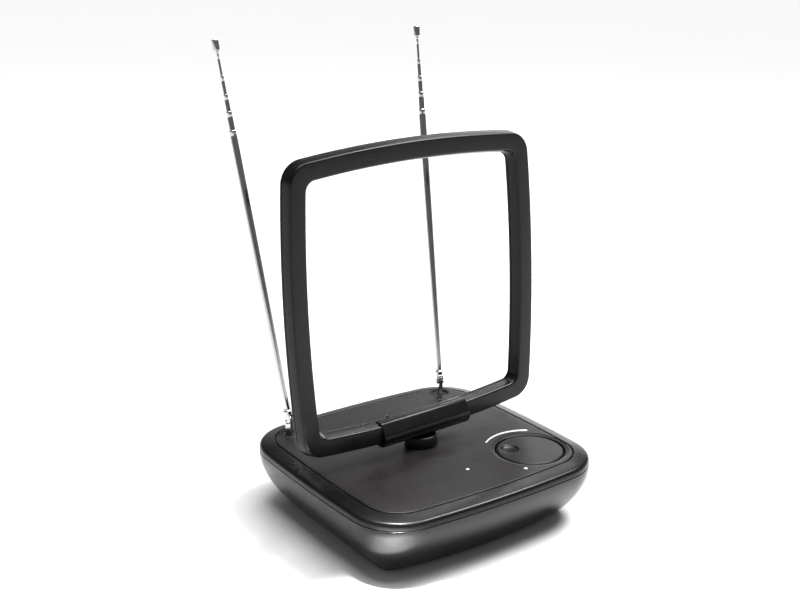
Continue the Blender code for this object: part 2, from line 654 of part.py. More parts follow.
def make_sockets():
    """The threaded coaxial socket and the power inlet, both along +Y in the back wall."""
    wall = back_wall_y(SOCKET_HEIGHT, abs(COAX_X))
    nut = COAX_THREAD_RADIUS + 1.6 * MM
    face = flange_face(COAX_X, nut)
    coax = turned_piece("coax_socket",
                        [(COAX_BORE_RADIUS, wall + COAX_STANDS_PROUD),
                         (COAX_THREAD_RADIUS - 0.5 * MM, wall + COAX_STANDS_PROUD),
                         (COAX_THREAD_RADIUS, wall + COAX_STANDS_PROUD - 0.5 * MM),
                         (COAX_THREAD_RADIUS, face), (nut, face), (nut, face - COAX_INSIDE),
                         (COAX_BORE_RADIUS, face - COAX_INSIDE)],
                        NICKEL, closed=True)
    coax.matrix_world = along_y(COAX_X, SOCKET_HEIGHT)
    wall = back_wall_y(SOCKET_HEIGHT, abs(POWER_X))
    body = POWER_RADIUS + 1.2 * MM
    face = flange_face(POWER_X, body)
    floor = face - POWER_INSIDE + 3 * MM
    pin = 0.65 * MM
    inlet = turned_piece("power_inlet",
                         [(0, wall), (pin * 0.6, wall), (pin, wall - 0.4 * MM), (pin, floor),
                          (POWER_BORE_RADIUS, floor), (POWER_BORE_RADIUS, wall + 0.2 * MM),
                          (POWER_RADIUS, wall + 0.2 * MM), (POWER_RADIUS, face), (body, face),
                          (body, face - POWER_INSIDE), (0, face - POWER_INSIDE)],
                         MATT_BLACK)
    inlet.matrix_world = along_y(POWER_X, SOCKET_HEIGHT)


# ---------------------------------------------------------------- loop, sleeve and post


def loop_path(inset, depth):
    """The loop's C-shaped path at an inset from its outer edge, open at the sleeve.

    It runs from the right end of the bottom bar, up the right side and over to the left end.
    """
    corner = LOOP_CORNER + (LOOP_INNER_CORNER - LOOP_CORNER) * inset / BAR_WIDTH
    sizes = (LOOP_HALF_WIDTH - inset, LOOP_HALF_HEIGHT - inset,
             LOOP_SIDE_BOW - inset, LOOP_TOP_BOW - inset, corner)
    upper = bowed_quarter(*sizes)
    lower = [(x, -z) for x, z in reversed(bowed_quarter(*sizes, stop_x=LOOP_GAP))]
    right = lower[:-1] + upper
    path = right + [(-x, z) for x, z in reversed(right[:-1])]
    rise = LOOP_HALF_HEIGHT - BAR_WIDTH / 2
    return [(x, depth, z + rise) for x, z in path]


def sweep_loop(name, section):
    """Carries a closed section of (inset, depth) points along the loop's path, with flat ends."""
    lines = [loop_path(inset, depth) for inset, depth in section]
    rings = [[line[i] for line in lines] for i in range(len(lines[0]))]
    return loft_mesh(name, rings)


def bar_edges(depth):
    """The insets of the bar's outer and inner side at a depth: the bar narrows to the front."""
    forward = (BAR_DEPTH / 2 - depth) / BAR_DEPTH
    return BAR_OUTER_SLANT * forward, BAR_WIDTH - BAR_INNER_SLANT * forward


def make_loop(tilt):
    front, back = -BAR_DEPTH / 2, BAR_DEPTH / 2
    shoulder = front + BAR_EDGE
    knee = front + BAR_EDGE * 0.3
    cavity = front + BAR_WALL

    def both(depth, draw=0.0):
        outer, inner = bar_edges(depth)
        return (outer + draw, depth), (inner - draw, depth)

    parts = [both(BAR_PARTING), both(shoulder), both(knee, BAR_EDGE * 0.3), both(front, BAR_EDGE)]
    hollow = [both(cavity, BAR_WALL), both(BAR_PARTING, BAR_WALL)]
    section = [pair[0] for pair in parts] + [pair[1] for pair in reversed(parts)]
    section += [pair[1] for pair in reversed(hollow)] + [pair[0] for pair in hollow]
    add_piece("loop_front_frame", sweep_loop("loop_front_frame", section), SATIN_BLACK, tilt)

    lid = [both(BAR_PARTING + GAP), both(back - 0.8 * MM), both(back, 0.8 * MM)]
    section = [pair[0] for pair in lid] + [pair[1] for pair in reversed(lid)]
    add_piece("loop_rear_frame", sweep_loop("loop_rear_frame", section), SATIN_BLACK, tilt)

    middle = BAR_WIDTH / 2
    half, thin = STRIP_WIDTH / 2, STRIP_THICKNESS / 2
    strip = [(middle - half, thin), (middle - half, -thin), (middle + half, -thin),
             (middle + half, thin)]
    mesh = sweep_loop("loop_conductor", strip)
    shorten = LOOP_GAP + AXLE_GRIP + 2 * MM
    conductor = add_piece("loop_conductor", mesh, BRASS, tilt, smooth=False)
    clearance = box_mesh("conductor_trim", (-shorten, -10 * MM, -10 * MM),
                         (shorten, 10 * MM, 10 * MM))
    trim = add_tool("conductor_trim", clearance)
    trim.parent = tilt
    cut(conductor, trim)

    half_axle = LOOP_GAP + AXLE_GRIP
    sideways = Matrix.Rotation(math.pi / 2, 4, "Y")
    add_piece("tilt_axle", rod_mesh("tilt_axle", [(0, 0)], AXLE_RADIUS, -half_axle, half_axle,
                                    SMALL_ROUND, sideways), STEEL, tilt)
    inner = SLEEVE_LENGTH / 2 - SLEEVE_WALL - GAP
    for side_name, side in (("left", -1), ("right", 1)):
        washer = turned_piece(
            f"tilt_washer_{side_name}",
            [(AXLE_RADIUS + TUBE_GAP, WASHER_THICKNESS / 2), (WASHER_RADIUS, WASHER_THICKNESS / 2),
             (WASHER_RADIUS, -WASHER_THICKNESS / 2), (AXLE_RADIUS + TUBE_GAP, -WASHER_THICKNESS / 2)],
            STEEL, tilt, SMALL_ROUND, closed=True,
            place=(side * (inner - WASHER_THICKNESS / 2), 0, 0))
        washer.rotation_euler = (0, math.pi / 2, 0)


def sleeve_section():
    """The front half of the sleeve's outline, as (y, z) about the axle, from the bottom up."""
    front, top = SLEEVE_DEPTH / 2, SLEEVE_HEIGHT / 2
    roll = 3.6 * MM
    upper = arc(front - roll, top - roll, roll, 0, math.pi / 2, 4)
    lower = [(front * 0.55, -top), (front * 0.8, -top * 0.82), (front * 0.94, -top * 0.45)]
    return [(-y, z) for y, z in lower + upper]


def make_sleeve(swivel):
    """Two halves round the axle, with end walls that it turns in."""
    half = SLEEVE_LENGTH / 2
    inside = SLEEVE_HEIGHT / 2 - SLEEVE_WALL
    sideways = Matrix.Rotation(math.pi / 2, 4, "Y")
    lift = Matrix.Translation((0, 0, AXLE_HEIGHT))
    hollow = add_tool("sleeve_hollow", rod_mesh(
        "sleeve_hollow", [(0, 0)], inside, -half + SLEEVE_WALL, half - SLEEVE_WALL, ROUND,
        lift @ sideways))
    bore = add_tool("sleeve_bore", rod_mesh(
        "sleeve_bore", [(0, 0)], AXLE_RADIUS + RUNNING_GAP, -half - 1 * MM, half + 1 * MM, ROUND,
        lift @ sideways))
    screw_places = [(-SLEEVE_SCREW_X, 0), (SLEEVE_SCREW_X, 0)]
    backwards = Matrix.Translation((0, 0, AXLE_HEIGHT + SLEEVE_HEIGHT / 2 - SLEEVE_WALL)) \
        @ Matrix.Rotation(-math.pi / 2, 4, "X")
    pilot = SLEEVE_DEPTH / 2
    holes = add_tool("sleeve_screw_holes", rod_mesh(
        "sleeve_screw_holes", screw_places, 1.0 * MM, -pilot * 0.6, pilot + 1 * MM, SMALL_ROUND,
        backwards))
    # The loop's wires run down through this bore into the base.
    wires = add_tool("wire_bore", rod_mesh(
        "wire_bore", [(0, 0)], POST_BORE_RADIUS, DECK_UNDER - 20 * MM, AXLE_HEIGHT - 3 * MM))
    for tool in (hollow, bore, holes, wires):
        tool.parent = swivel
    for name, facing in (("sleeve_front", 1), ("sleeve_rear", -1)):
        outline = [(facing * y, z) for y, z in sleeve_section()]
        flat = -facing * GAP / 2
        outline = [(flat, -SLEEVE_HEIGHT / 2)] + outline + [(flat, SLEEVE_HEIGHT / 2)]
        rings = [[(x, y, z + AXLE_HEIGHT) for y, z in outline] for x in (-half, half)]
        shell = add_piece(name, loft_mesh(name, rings), SATIN_BLACK, swivel)
        if name == "sleeve_rear":
            join_post(shell, swivel)
        cut(shell, hollow)
        cut(shell, bore)
        cut(shell, holes)
        cut(shell, wires)
    head = SLEEVE_DEPTH / 2 + GAP
    screw = 0.8 * MM
    for side_name, side in (("left", -1), ("right", 1)):
        piece = turned_piece(
            f"sleeve_screw_{side_name}",
            [(0, head + 0.7 * MM), (1.3 * MM, head + 0.6 * MM), (1.7 * MM, head), (screw, head),
             (screw, -pilot * 0.5), (0, -pilot * 0.5)],
            ZINC, swivel, SMALL_ROUND)
        piece.matrix_local = backwards @ Matrix.Translation((side * SLEEVE_SCREW_X, 0, 0))


def join_post(shell, swivel):
    """Joins the round post and its spigot to the rear half, under which they are moulded."""
    foot = PANEL_TOP + GAP
    top = foot + POST_HEIGHT
    low = DECK_UNDER - GAP - RING_THICKNESS - 2 * MM
    post = turned_piece("post",
                        [(0, top), (POST_RADIUS - 1 * MM, top), (POST_RADIUS, top - 1 * MM),
                         (POST_RADIUS, foot + 0.5 * MM), (POST_RADIUS - 0.5 * MM, foot),
                         (SPIGOT_RADIUS, foot), (SPIGOT_RADIUS, low), (0, low)])
    root = POST_RADIUS * 0.62
    bridge = add_tool("post_root", box_mesh(
        "post_root", (-root, GAP / 2, top - 1 * MM), (root, root, SLEEVE_UNDER + 1 * MM)))
    for tool in (post, bridge):
        tool.parent = swivel
        join(shell, tool)


def make_retaining_ring(swivel):
    """The ring under the deck that keeps the spigot from lifting out."""
    ring_top = DECK_UNDER - GAP
    turned_piece("post_retaining_ring",
                 [(SPIGOT_RADIUS + GAP, ring_top), (SPIGOT_RADIUS + 2.5 * MM, ring_top),
                  (SPIGOT_RADIUS + 2.5 * MM, ring_top - RING_THICKNESS),
                  (SPIGOT_RADIUS + GAP, ring_top - RING_THICKNESS)],
                 STEEL, swivel, closed=True)


# ---------------------------------------------------------------- telescopic rods


def make_bush(side_name, x, y):
    """The fixed black bush that a rod's stud turns in, dished at the top."""
    dish = PANEL_TOP - BUSH_DISH
    bore = STEM_RADIUS + RUNNING_GAP
    neck = BUSH_RADIUS - 1 * MM
    turned_piece(f"rod_bush_{side_name}",
                 [(bore, dish), (BUSH_DISH_RADIUS, dish), (BUSH_DISH_RADIUS + 0.5 * MM, PANEL_TOP),
                  (BUSH_RADIUS, PANEL_TOP), (BUSH_RADIUS, PANEL_UNDER), (neck, PANEL_UNDER),
                  (neck, DECK_UNDER - 1.5 * MM), (bore, DECK_UNDER - 1.5 * MM)],
                 MATT_BLACK, closed=True, place=(x, y, 0))
    return dish, DECK_UNDER - 1.5 * MM


def make_stud(side_name, swivel, dish, bush_end):
    """The chrome stud: a disc in the bush, a stem below it and a flat tongue above it."""
    disc_low = dish + GAP
    disc_top = disc_low + 1.3 * MM
    stem_end = bush_end - GAP - 3 * MM
    disc = BUSH_DISH_RADIUS - RUNNING_GAP - 0.3 * MM
    stud = turned_piece(f"rod_stud_{side_name}",
                        [(0, disc_top), (disc - 0.4 * MM, disc_top), (disc, disc_top - 0.4 * MM),
                         (disc, disc_low), (STEM_RADIUS, disc_low), (STEM_RADIUS, stem_end),
                         (0, stem_end)],
                        CHROME, swivel)
    half_thick, half_wide = TONGUE_THICKNESS / 2, TONGUE_WIDTH / 2
    tongue = add_tool(f"tongue_{side_name}", box_mesh(
        f"tongue_{side_name}", (-half_thick, -half_wide, disc_top - 0.5 * MM),
        (half_thick, half_wide, PIVOT_Z)))
    sideways = Matrix.Translation((0, 0, PIVOT_Z)) @ Matrix.Rotation(math.pi / 2, 4, "Y")
    eye = add_tool(f"tongue_eye_{side_name}", rod_mesh(
        f"tongue_eye_{side_name}", [(0, 0)], half_wide, -half_thick, half_thick, ROUND, sideways))
    hole = add_tool(f"tongue_hole_{side_name}", rod_mesh(
        f"tongue_hole_{side_name}", [(0, 0)], PIN_RADIUS + TUBE_GAP, -half_thick - 1 * MM,
        half_thick + 1 * MM, SMALL_ROUND, sideways))
    for tool in (tongue, eye, hole):
        tool.parent = swivel
    join(stud, tongue)
    join(stud, eye)
    cut(stud, hole)
    clip_top = bush_end - GAP
    turned_piece(f"stud_clip_{side_name}",
                 [(STEM_RADIUS + GAP, clip_top), (STEM_RADIUS + 2.2 * MM, clip_top),
                  (STEM_RADIUS + 2.2 * MM, clip_top - RING_THICKNESS),
                  (STEM_RADIUS + GAP, clip_top - RING_THICKNESS)],
                 STEEL, swivel, SMALL_ROUND, closed=True)


def make_knuckle(side_name, tilt):
    """The forked chrome knuckle that straddles the tongue, and its rivet."""
    top = TUBE_START - GAP
    shoulder = TONGUE_WIDTH / 2 + 1.2 * MM
    spigot = TUBE_RADII[1]
    knuckle = turned_piece(f"rod_knuckle_{side_name}",
                           [(0, top + SPIGOT_REACH), (spigot, top + SPIGOT_REACH), (spigot, top),
                            (TUBE_RADII[0], top), (KNUCKLE_RADIUS, top - 0.9 * MM),
                            (KNUCKLE_RADIUS, -1.6 * MM), (KNUCKLE_RADIUS * 0.75, -2.7 * MM),
                            (0, -2.7 * MM)],
                           CHROME, tilt, segments=16)
    half_slot, reach = KNUCKLE_SLOT / 2, KNUCKLE_RADIUS + 1 * MM
    slot = add_tool(f"knuckle_slot_{side_name}", box_mesh(
        f"knuckle_slot_{side_name}", (-half_slot, -reach, -reach), (half_slot, reach, shoulder)))
    sideways = Matrix.Rotation(math.pi / 2, 4, "Y")
    hole = add_tool(f"knuckle_hole_{side_name}", rod_mesh(
        f"knuckle_hole_{side_name}", [(0, 0)], PIN_RADIUS + TUBE_GAP, -reach, reach,
        SMALL_ROUND, sideways))
    for tool in (slot, hole):
        tool.parent = tilt
        cut(knuckle, tool)
    half_pin = KNUCKLE_RADIUS + 0.2 * MM
    add_piece(f"rod_rivet_{side_name}", rod_mesh(
        f"rod_rivet_{side_name}", [(0, 0)], PIN_RADIUS, -half_pin, half_pin, SMALL_ROUND,
        sideways), STEEL, tilt)


def make_tubes(side_name, tilt):
    """Five tubes, each sliding in the one before it, and the tip on the last."""
    top = TUBE_START + TUBE_LENGTH
    low = TUBE_START
    for number, radius in enumerate(TUBE_RADII, 1):
        last = number == len(TUBE_RADII)
        mouth = min(0.25 * MM, radius * 0.25)
        outer = [(radius - mouth, top), (radius, top - mouth), (radius, low)]
        if last:
            profile = [(0, top)] + outer + [(0, low)]
        else:
            bore = TUBE_RADII[number] + TUBE_GAP
            profile = [(bore, top)] + outer + [(bore, low)]
        turned_piece(f"rod_tube_{number}_{side_name}", profile, CHROME, tilt, SMALL_ROUND, not last)
        if not last:
            low += TUBE_RISE + (SPIGOT_REACH if number == 1 else 0)
            top += TUBE_STEPS[number - 1]
    turned_piece(f"rod_tip_{side_name}",
                 [(0, top + TIP_LENGTH), (TIP_RADIUS * 0.7, top + TIP_LENGTH - 0.2 * MM),
                  (TIP_RADIUS, top + TIP_LENGTH - 1 * MM), (TIP_RADIUS, top + 1 * MM),
                  (TIP_RADIUS * 0.8, top + GAP), (0, top + GAP)],
                 CHROME, tilt, SMALL_ROUND)


def make_rod(side_name, side):
    x, y = side * ROD_X, ROD_Y
    dish, bush_end = make_bush(side_name, x, y)
    swivel = add_pivot(f"rod_swivel_{side_name}", (x, y, 0), (0, 0, -side * ROD_SPLAY))
    tilt = add_pivot(f"rod_tilt_{side_name}", (0, 0, PIVOT_Z), (-ROD_LEAN, 0, 0), swivel)
    make_stud(side_name, swivel, dish, bush_end)
    make_knuckle(side_name, tilt)
    make_tubes(side_name, tilt)


# ---------------------------------------------------------------- assembly

clear_scene()
PIECES = new_collection("rabbit_ears_antenna")
TOOLS = new_collection("cutters")
TOOLS.hide_render = True

GLOSS_BLACK = finish_of("gloss_black_plastic", (0.012, 0.012, 0.013), 0.22)
SATIN_BLACK = finish_of("satin_black_plastic", (0.018, 0.017, 0.017), 0.4)
MATT_BLACK = finish_of("matt_black_plastic", (0.03, 0.027, 0.027), 0.62)
RUBBER = finish_of("black_rubber", (0.015, 0.015, 0.015), 0.85)
CHROME = finish_of("chrome_plate", (0.8, 0.8, 0.81), 0.08, 1.0)
STEEL = finish_of("plain_steel", (0.42, 0.42, 0.43), 0.4, 1.0)
ZINC = finish_of("zinc_plate", (0.55, 0.56, 0.57), 0.35, 1.0)
NICKEL = finish_of("nickel_plate", (0.6, 0.58, 0.54), 0.25, 1.0)
TIN = finish_of("tinned_steel", (0.62, 0.62, 0.62), 0.38, 1.0)
BRASS = finish_of("brass", (0.72, 0.53, 0.2), 0.35, 1.0)
BOARD_GREEN = finish_of("circuit_board_green", (0.02, 0.16, 0.05), 0.5)
LENS_WHITE = finish_of("milky_lens", (0.85, 0.85, 0.85), 0.25)

DIAL_WELL, SPIGOT_HOLE, LIGHT_PIPE_HOLE, DIAL_COUNTERSINK = make_shared_holes()

make_housing()
make_top_cover()
make_top_panel()
make_feet_and_screws()
make_ballast()
make_dial(make_amplifier())
make_sockets()

loop_swivel_pivot = add_pivot("loop_swivel_axis", (0, LOOP_PLACE_Y, 0), (0, 0, LOOP_SWIVEL))
loop_tilt_pivot = add_pivot("loop_tilt_axis", (0, 0, AXLE_HEIGHT), (LOOP_LEAN, 0, 0),
                            loop_swivel_pivot)
make_sleeve(loop_swivel_pivot)
make_retaining_ring(loop_swivel_pivot)
make_loop(loop_tilt_pivot)

make_rod("left", -1)
make_rod("right", 1)
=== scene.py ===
"""An amplified indoor television antenna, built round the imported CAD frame.

Lengths are in metres, and the shape's own sizes are written in millimetres times MM. Each surface
is a grid of points worked out as whole arrays, and each finish starts from the real material.
"""

import json
import math

import bmesh
import bpy
import numpy as np
from mathutils import Matrix, Vector


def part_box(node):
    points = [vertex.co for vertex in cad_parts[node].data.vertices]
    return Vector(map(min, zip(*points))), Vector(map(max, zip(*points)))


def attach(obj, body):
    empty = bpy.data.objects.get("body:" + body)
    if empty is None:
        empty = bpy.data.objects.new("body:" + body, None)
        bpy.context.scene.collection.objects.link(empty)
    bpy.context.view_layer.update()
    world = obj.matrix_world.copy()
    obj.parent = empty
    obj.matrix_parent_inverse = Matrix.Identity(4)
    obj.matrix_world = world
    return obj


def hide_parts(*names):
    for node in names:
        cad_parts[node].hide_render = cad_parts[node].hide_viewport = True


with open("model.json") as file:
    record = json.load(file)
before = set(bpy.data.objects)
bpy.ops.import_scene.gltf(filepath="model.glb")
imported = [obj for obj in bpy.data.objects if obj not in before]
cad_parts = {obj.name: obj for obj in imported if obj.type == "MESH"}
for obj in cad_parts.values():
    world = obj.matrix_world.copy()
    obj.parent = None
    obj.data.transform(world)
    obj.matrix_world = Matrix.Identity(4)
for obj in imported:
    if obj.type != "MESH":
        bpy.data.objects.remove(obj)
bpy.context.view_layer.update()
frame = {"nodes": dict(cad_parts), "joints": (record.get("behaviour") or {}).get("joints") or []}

MM = 0.001
TURN = 2 * math.pi

# ---------------------------------------------------------------- sizes taken from the frame


def joint(name):
    """The frame's record of a joint: its place, axis and range."""
    return next(j for j in frame["joints"] if j["name"] == name)


def corners(node):
    """The lowest and highest corner of a CAD node's box."""
    low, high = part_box(node)
    return np.array(low), np.array(high)


def upright_at(node):
    """A node that stands on Z: its axis as a frame at height 0, half its width, and its corners."""
    low, high = corners(node)
    middle = (low + high) / 2
    return Matrix.Translation((middle[0], middle[1], 0)), (high[0] - low[0]) / 2, low, high


HALF_WIDTH, HALF_DEPTH, SEAM = corners("base_housing")[1]
PANEL_TOP = corners("top_cover")[1][2]
RIM_TOP = PANEL_TOP - 1.6 * MM
DIAL_CENTRE = np.array(joint("gain_dial_turn")["pos_m"][:2])
_, DIAL_RADIUS, dial_low, dial_high = upright_at("gain_dial")
DIAL_HUB_LOW, DIAL_FACE = dial_low[2], dial_high[2]
POST_CENTRE = np.array(joint("loop_swivel")["pos_m"][:2])
AXLE = np.array(joint("loop_tilt")["pos_m"])
LAMP_CENTRE = sum(corners("light_pipe"))[:2] / 2
SIDES = ("left", "right")
ROD_FEET = {side: joint(f"rod_swivel_{side}")["pos_m"][:2] for side in SIDES}
FEET = [f"foot_{end}_{side}" for end in ("front", "rear") for side in SIDES]
CASE_SCREWS = [f"case_screw_{number}" for number in range(1, 5)]

# ---------------------------------------------------------------- mesh helpers


def link(name, data):
    """An object that shows some data, in the scene."""
    made = bpy.data.objects.new(name, data)
    bpy.context.scene.collection.objects.link(made)
    return made


def surface(name, grid, wrap_rows=False, wrap_columns=True, caps=True):
    """One mesh from a grid of points: four neighbours make a face.

    Point (i, j) joins (i + 1, j) and (i, j + 1), and an edge of the grid wraps round to the other
    or is closed by one flat cap. Rows that sit on an axis are merged to one point.
    """
    rows, columns = grid.shape[:2]
    index = np.arange(rows * columns).reshape(rows, columns)
    ends = [index[0], index[-1, ::-1]] if caps and not wrap_rows else []
    if wrap_rows:
        index = np.vstack([index, index[:1]])
    if wrap_columns:
        index = np.hstack([index, index[:, :1]])
    quads = np.stack([index[:-1, :-1], index[1:, :-1], index[1:, 1:], index[:-1, 1:]], axis=-1)
    faces = quads.reshape(-1, 4).tolist() + [end.tolist() for end in ends]
    mesh = bpy.data.meshes.new(name)
    mesh.from_pydata(grid.reshape(-1, 3), [], faces)
    bm = bmesh.new()
    bm.from_mesh(mesh)
    bmesh.ops.remove_doubles(bm, verts=bm.verts, dist=1e-7)
    bmesh.ops.dissolve_degenerate(bm, edges=bm.edges, dist=1e-7)
    bmesh.ops.recalc_face_normals(bm, faces=bm.faces)
    bm.to_mesh(mesh)
    bm.free()
    return link(name, mesh)


def settle(piece):
    """Applies a piece's modifiers to its mesh."""
    bpy.context.view_layer.update()
    graph = bpy.context.evaluated_depsgraph_get()
    old = piece.data
    piece.data = bpy.data.meshes.new_from_object(piece.evaluated_get(graph))
    piece.modifiers.clear()
    bpy.data.meshes.remove(old)
    return piece


def carve(piece, *tools, operation="DIFFERENCE"):
    """Cuts closed shapes out of a piece, or joins them to it, and removes the shapes."""
    for tool in tools:
        modifier = piece.modifiers.new("carve", "BOOLEAN")
        modifier.operation = operation
        modifier.solver = "EXACT"
        modifier.object = tool
        settle(piece)
        bpy.data.objects.remove(tool)
    return piece


def soften(piece, width, segments=3, angle=40):
    """Rounds the sharp edges of a piece by a width."""
    bevel = piece.modifiers.new("soften", "BEVEL")
    bevel.width = width
    bevel.segments = segments
    bevel.limit_method = "ANGLE"
    bevel.angle_limit = math.radians(angle)
    bevel.harden_normals = False
    return settle(piece)


def finish(piece, material, body, slot, *nodes, sharp=32):
    """Gives a piece its material, its body and the CAD nodes that it stands for. The slot is not
    used.
    """
    piece.data.materials.clear()
    piece.data.materials.append(material)
    piece.data.shade_smooth()
    piece.data.set_sharp_from_angle(angle=math.radians(sharp))
    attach(piece, body)
    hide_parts(*nodes)
    return piece


def arc(centre, radius, start, end, steps):
    """Points on a circle: centre + radius * (cos, sin) of angles in even steps, in degrees."""
    angle = np.radians(np.linspace(start, end, steps + 1))
    return np.array(centre) + radius * np.stack([np.cos(angle), np.sin(angle)], axis=1)


def rounded(corner_points, radii, steps=5, closed=True):
    """A polygon with each corner turned into an arc that touches both of its sides.

    The arc starts radius / tan(half the corner's angle) before the corner, and its middle bulges
    towards the corner. It is drawn as the circle's own arc between the two touching points.
    """
    points = np.array(corner_points, float)
    radii = np.broadcast_to(np.array(radii, float), len(points))
    out = []
    for i, corner in enumerate(points):
        if not closed and i in (0, len(points) - 1) or radii[i] <= 0:
            out.append(corner[None])
            continue
        before = points[i - 1] - corner
        after = points[(i + 1) % len(points)] - corner
        before /= np.linalg.norm(before)
        after /= np.linalg.norm(after)
        half = math.acos(np.clip(before @ after, -1, 1)) / 2
        bisector = before + after
        bisector /= np.linalg.norm(bisector)
        centre = corner + bisector * radii[i] / math.sin(half)
        first = corner + before * radii[i] / math.tan(half) - centre
        last = corner + after * radii[i] / math.tan(half) - centre
        start = math.atan2(first[1], first[0])
        sweep = math.atan2(first[0] * last[1] - first[1] * last[0], first @ last)
        angle = start + sweep * np.linspace(0, 1, steps + 1)
        out.append(centre + radii[i] * np.stack([np.cos(angle), np.sin(angle)], axis=1))
    return np.concatenate(out)


def place(grid, matrix):
    """Carries points into a frame: matrix times (x, y, z, 1)."""
    matrix = np.array(matrix)
    return grid @ matrix[:3, :3].T + matrix[:3, 3]


def turned(name, profile, matrix=None, segments=64, closed=False):
    """A profile of (radius, height) points turned about Z: (r cos a, r sin a, h), then placed.

    A closed profile goes round the wall of a bore, and an open one starts and ends on the axis.
    """
    profile = np.array(profile, float)
    angle = np.arange(segments) * TURN / segments
    radius, height = profile[:, :1], profile[:, 1:]
    grid = np.stack([radius * np.cos(angle), radius * np.sin(angle),
                     np.broadcast_to(height, (len(profile), segments))], axis=-1)
    if matrix is not None:
        grid = place(grid, matrix)
    return surface(name, grid, wrap_rows=closed, caps=False)


def extruded(name, outline, low, high, matrix=None):
    """A closed outline of (x, y) points carried straight from one height to another."""
    outline = np.array(outline, float)
    rows = [np.column_stack([outline, np.full(len(outline), z)]) for z in (low, high)]
    grid = np.stack(rows)
    if matrix is not None:
        grid = place(grid, matrix)
    return surface(name, grid)


def extent(node, matrix):
    """The lowest and highest corner of a CAD node's points, seen in a frame."""
    points = np.array([v.co for v in frame["nodes"][node].data.vertices])
    points = place(points, matrix.inverted())
    return points.min(axis=0), points.max(axis=0)


def axes_matrix(origin, x_axis, z_axis):
    """A frame at an origin whose X and Z run along two given directions."""
    x_axis, z_axis = Vector(x_axis).normalized(), Vector(z_axis).normalized()
    matrix = Matrix((x_axis, z_axis.cross(x_axis), z_axis)).transposed().to_4x4()
    matrix.translation = Vector(origin)
    return matrix


def bowed_quarter(half_x, half_y, bow_x, bow_y, corner, stop_x=0.0, side=14, bend=14):
    """Quarter outlines of rounded rectangles with bowed sides, one for each row of the sizes.

    Each is an arc of radius bow_x about (half_x - bow_x, 0), then an arc of the corner's radius,
    then an arc of radius bow_y about (0, half_y - bow_y). The corner's centre lies where circles
    of radius bow_x - corner and bow_y - corner about those two centres meet. stop_x ends the
    last arc short of the middle.
    """
    sizes = np.broadcast_arrays(half_x, half_y, bow_x, bow_y, corner)
    half_x, half_y, bow_x, bow_y, corner = (np.reshape(size, (-1, 1)) for size in sizes)
    right, top = half_x - bow_x, half_y - bow_y
    reach_right, reach_top = bow_x - corner, bow_y - corner
    span = np.hypot(right, top)
    along = (reach_right**2 - reach_top**2 + span**2) / (2 * span)
    across = np.sqrt(reach_right**2 - along**2)
    unit_x, unit_y = -right / span, top / span
    bend_x = right + unit_x * along - unit_y * across
    bend_y = unit_y * along + unit_x * across
    first = np.arctan2(bend_y, bend_x - right)
    second = np.arctan2(bend_y - top, bend_x)
    last = np.arccos(stop_x / bow_y)
    even, short = np.linspace(0, 1, side + 1), np.linspace(0, 1, bend + 1)[:-1]
    side_angle = first * even[:-1]
    bend_angle = first + (second - first) * short
    top_angle = second + (last - second) * even
    x = [right + bow_x * np.cos(side_angle), bend_x + corner * np.cos(bend_angle),
         bow_y * np.cos(top_angle)]
    y = [bow_x * np.sin(side_angle), bend_y + corner * np.sin(bend_angle),
         top + bow_y * np.sin(top_angle)]
    return np.stack([np.hstack(x), np.hstack(y)], axis=-1)


def bowed_outline(*sizes):
    """Whole outlines, as (rows, points, 2): the quarter, mirrored left, then both mirrored down."""
    quarter = bowed_quarter(*sizes)
    upper = np.concatenate([quarter, quarter[:, -2::-1] * (-1, 1)], axis=1)
    return np.concatenate([upper, upper[:, -2:0:-1] * (1, -1)], axis=1)


# ---------------------------------------------------------------- material helpers


def linear(colour):
    """An sRGB hex colour such as 1a2b3c as linear RGBA."""
    part = np.array([int(colour[i:i + 2], 16) for i in (0, 2, 4)]) / 255
    value = np.where(part <= 0.04045, part / 12.92, ((part + 0.055) / 1.055) ** 2.4)
    return (*value.tolist(), 1.0)


def add_node(tree, kind, inputs=None, **settings):
    """One node: settings are its own properties, inputs are values or other nodes' outputs."""
    made = tree.nodes.new(kind)
    for name, value in settings.items():
        setattr(made, name, value)
    for name, value in (inputs or {}).items():
        if isinstance(value, bpy.types.NodeSocket):
            tree.links.new(value, made.inputs[name])
        else:
            made.inputs[name].default_value = value
    return made


def new_material(name, colour, **sockets):
    """A material with its shader's own sockets set, as (material, tree, shader, coordinates)."""
    material = bpy.data.materials.new(name)
    material.use_nodes = True
    tree = material.node_tree
    shader = tree.nodes["Principled BSDF"]
    shader.inputs["Base Color"].default_value = linear(colour)
    for socket, value in sockets.items():
        shader.inputs[socket.replace("_", " ")].default_value = value
    where = add_node(tree, "ShaderNodeTexCoord").outputs["Object"]
    return material, tree, shader, where


def vary_colour(tree, shader, where, light, size):
    """Drifts the base colour towards a second one in soft patches of a size."""
    patches = add_node(tree, "ShaderNodeTexNoise",
                       {"Vector": where, "Scale": 1 / size, "Detail": 3.0})
    dark = shader.inputs["Base Color"].default_value[:]
    mix = add_node(tree, "ShaderNodeMix", {"Factor": patches.outputs["Fac"]}, data_type="RGBA")
    mix.inputs[6].default_value = dark
    mix.inputs[7].default_value = linear(light)
    tree.links.new(mix.outputs[2], shader.inputs["Base Color"])
    return mix


def vary_roughness(tree, shader, where, low, high, size, detail=4.0):
    """Swings the roughness between two values, as handling and dust leave it."""
    smears = add_node(tree, "ShaderNodeTexNoise",
                      {"Vector": where, "Scale": 1 / size, "Detail": detail, "Roughness": 0.62})
    swing = add_node(tree, "ShaderNodeMapRange", {
        "Value": smears.outputs["Fac"], "From Min": 0.32, "From Max": 0.68,
        "To Min": low, "To Max": high})
    tree.links.new(swing.outputs["Result"], shader.inputs["Roughness"])


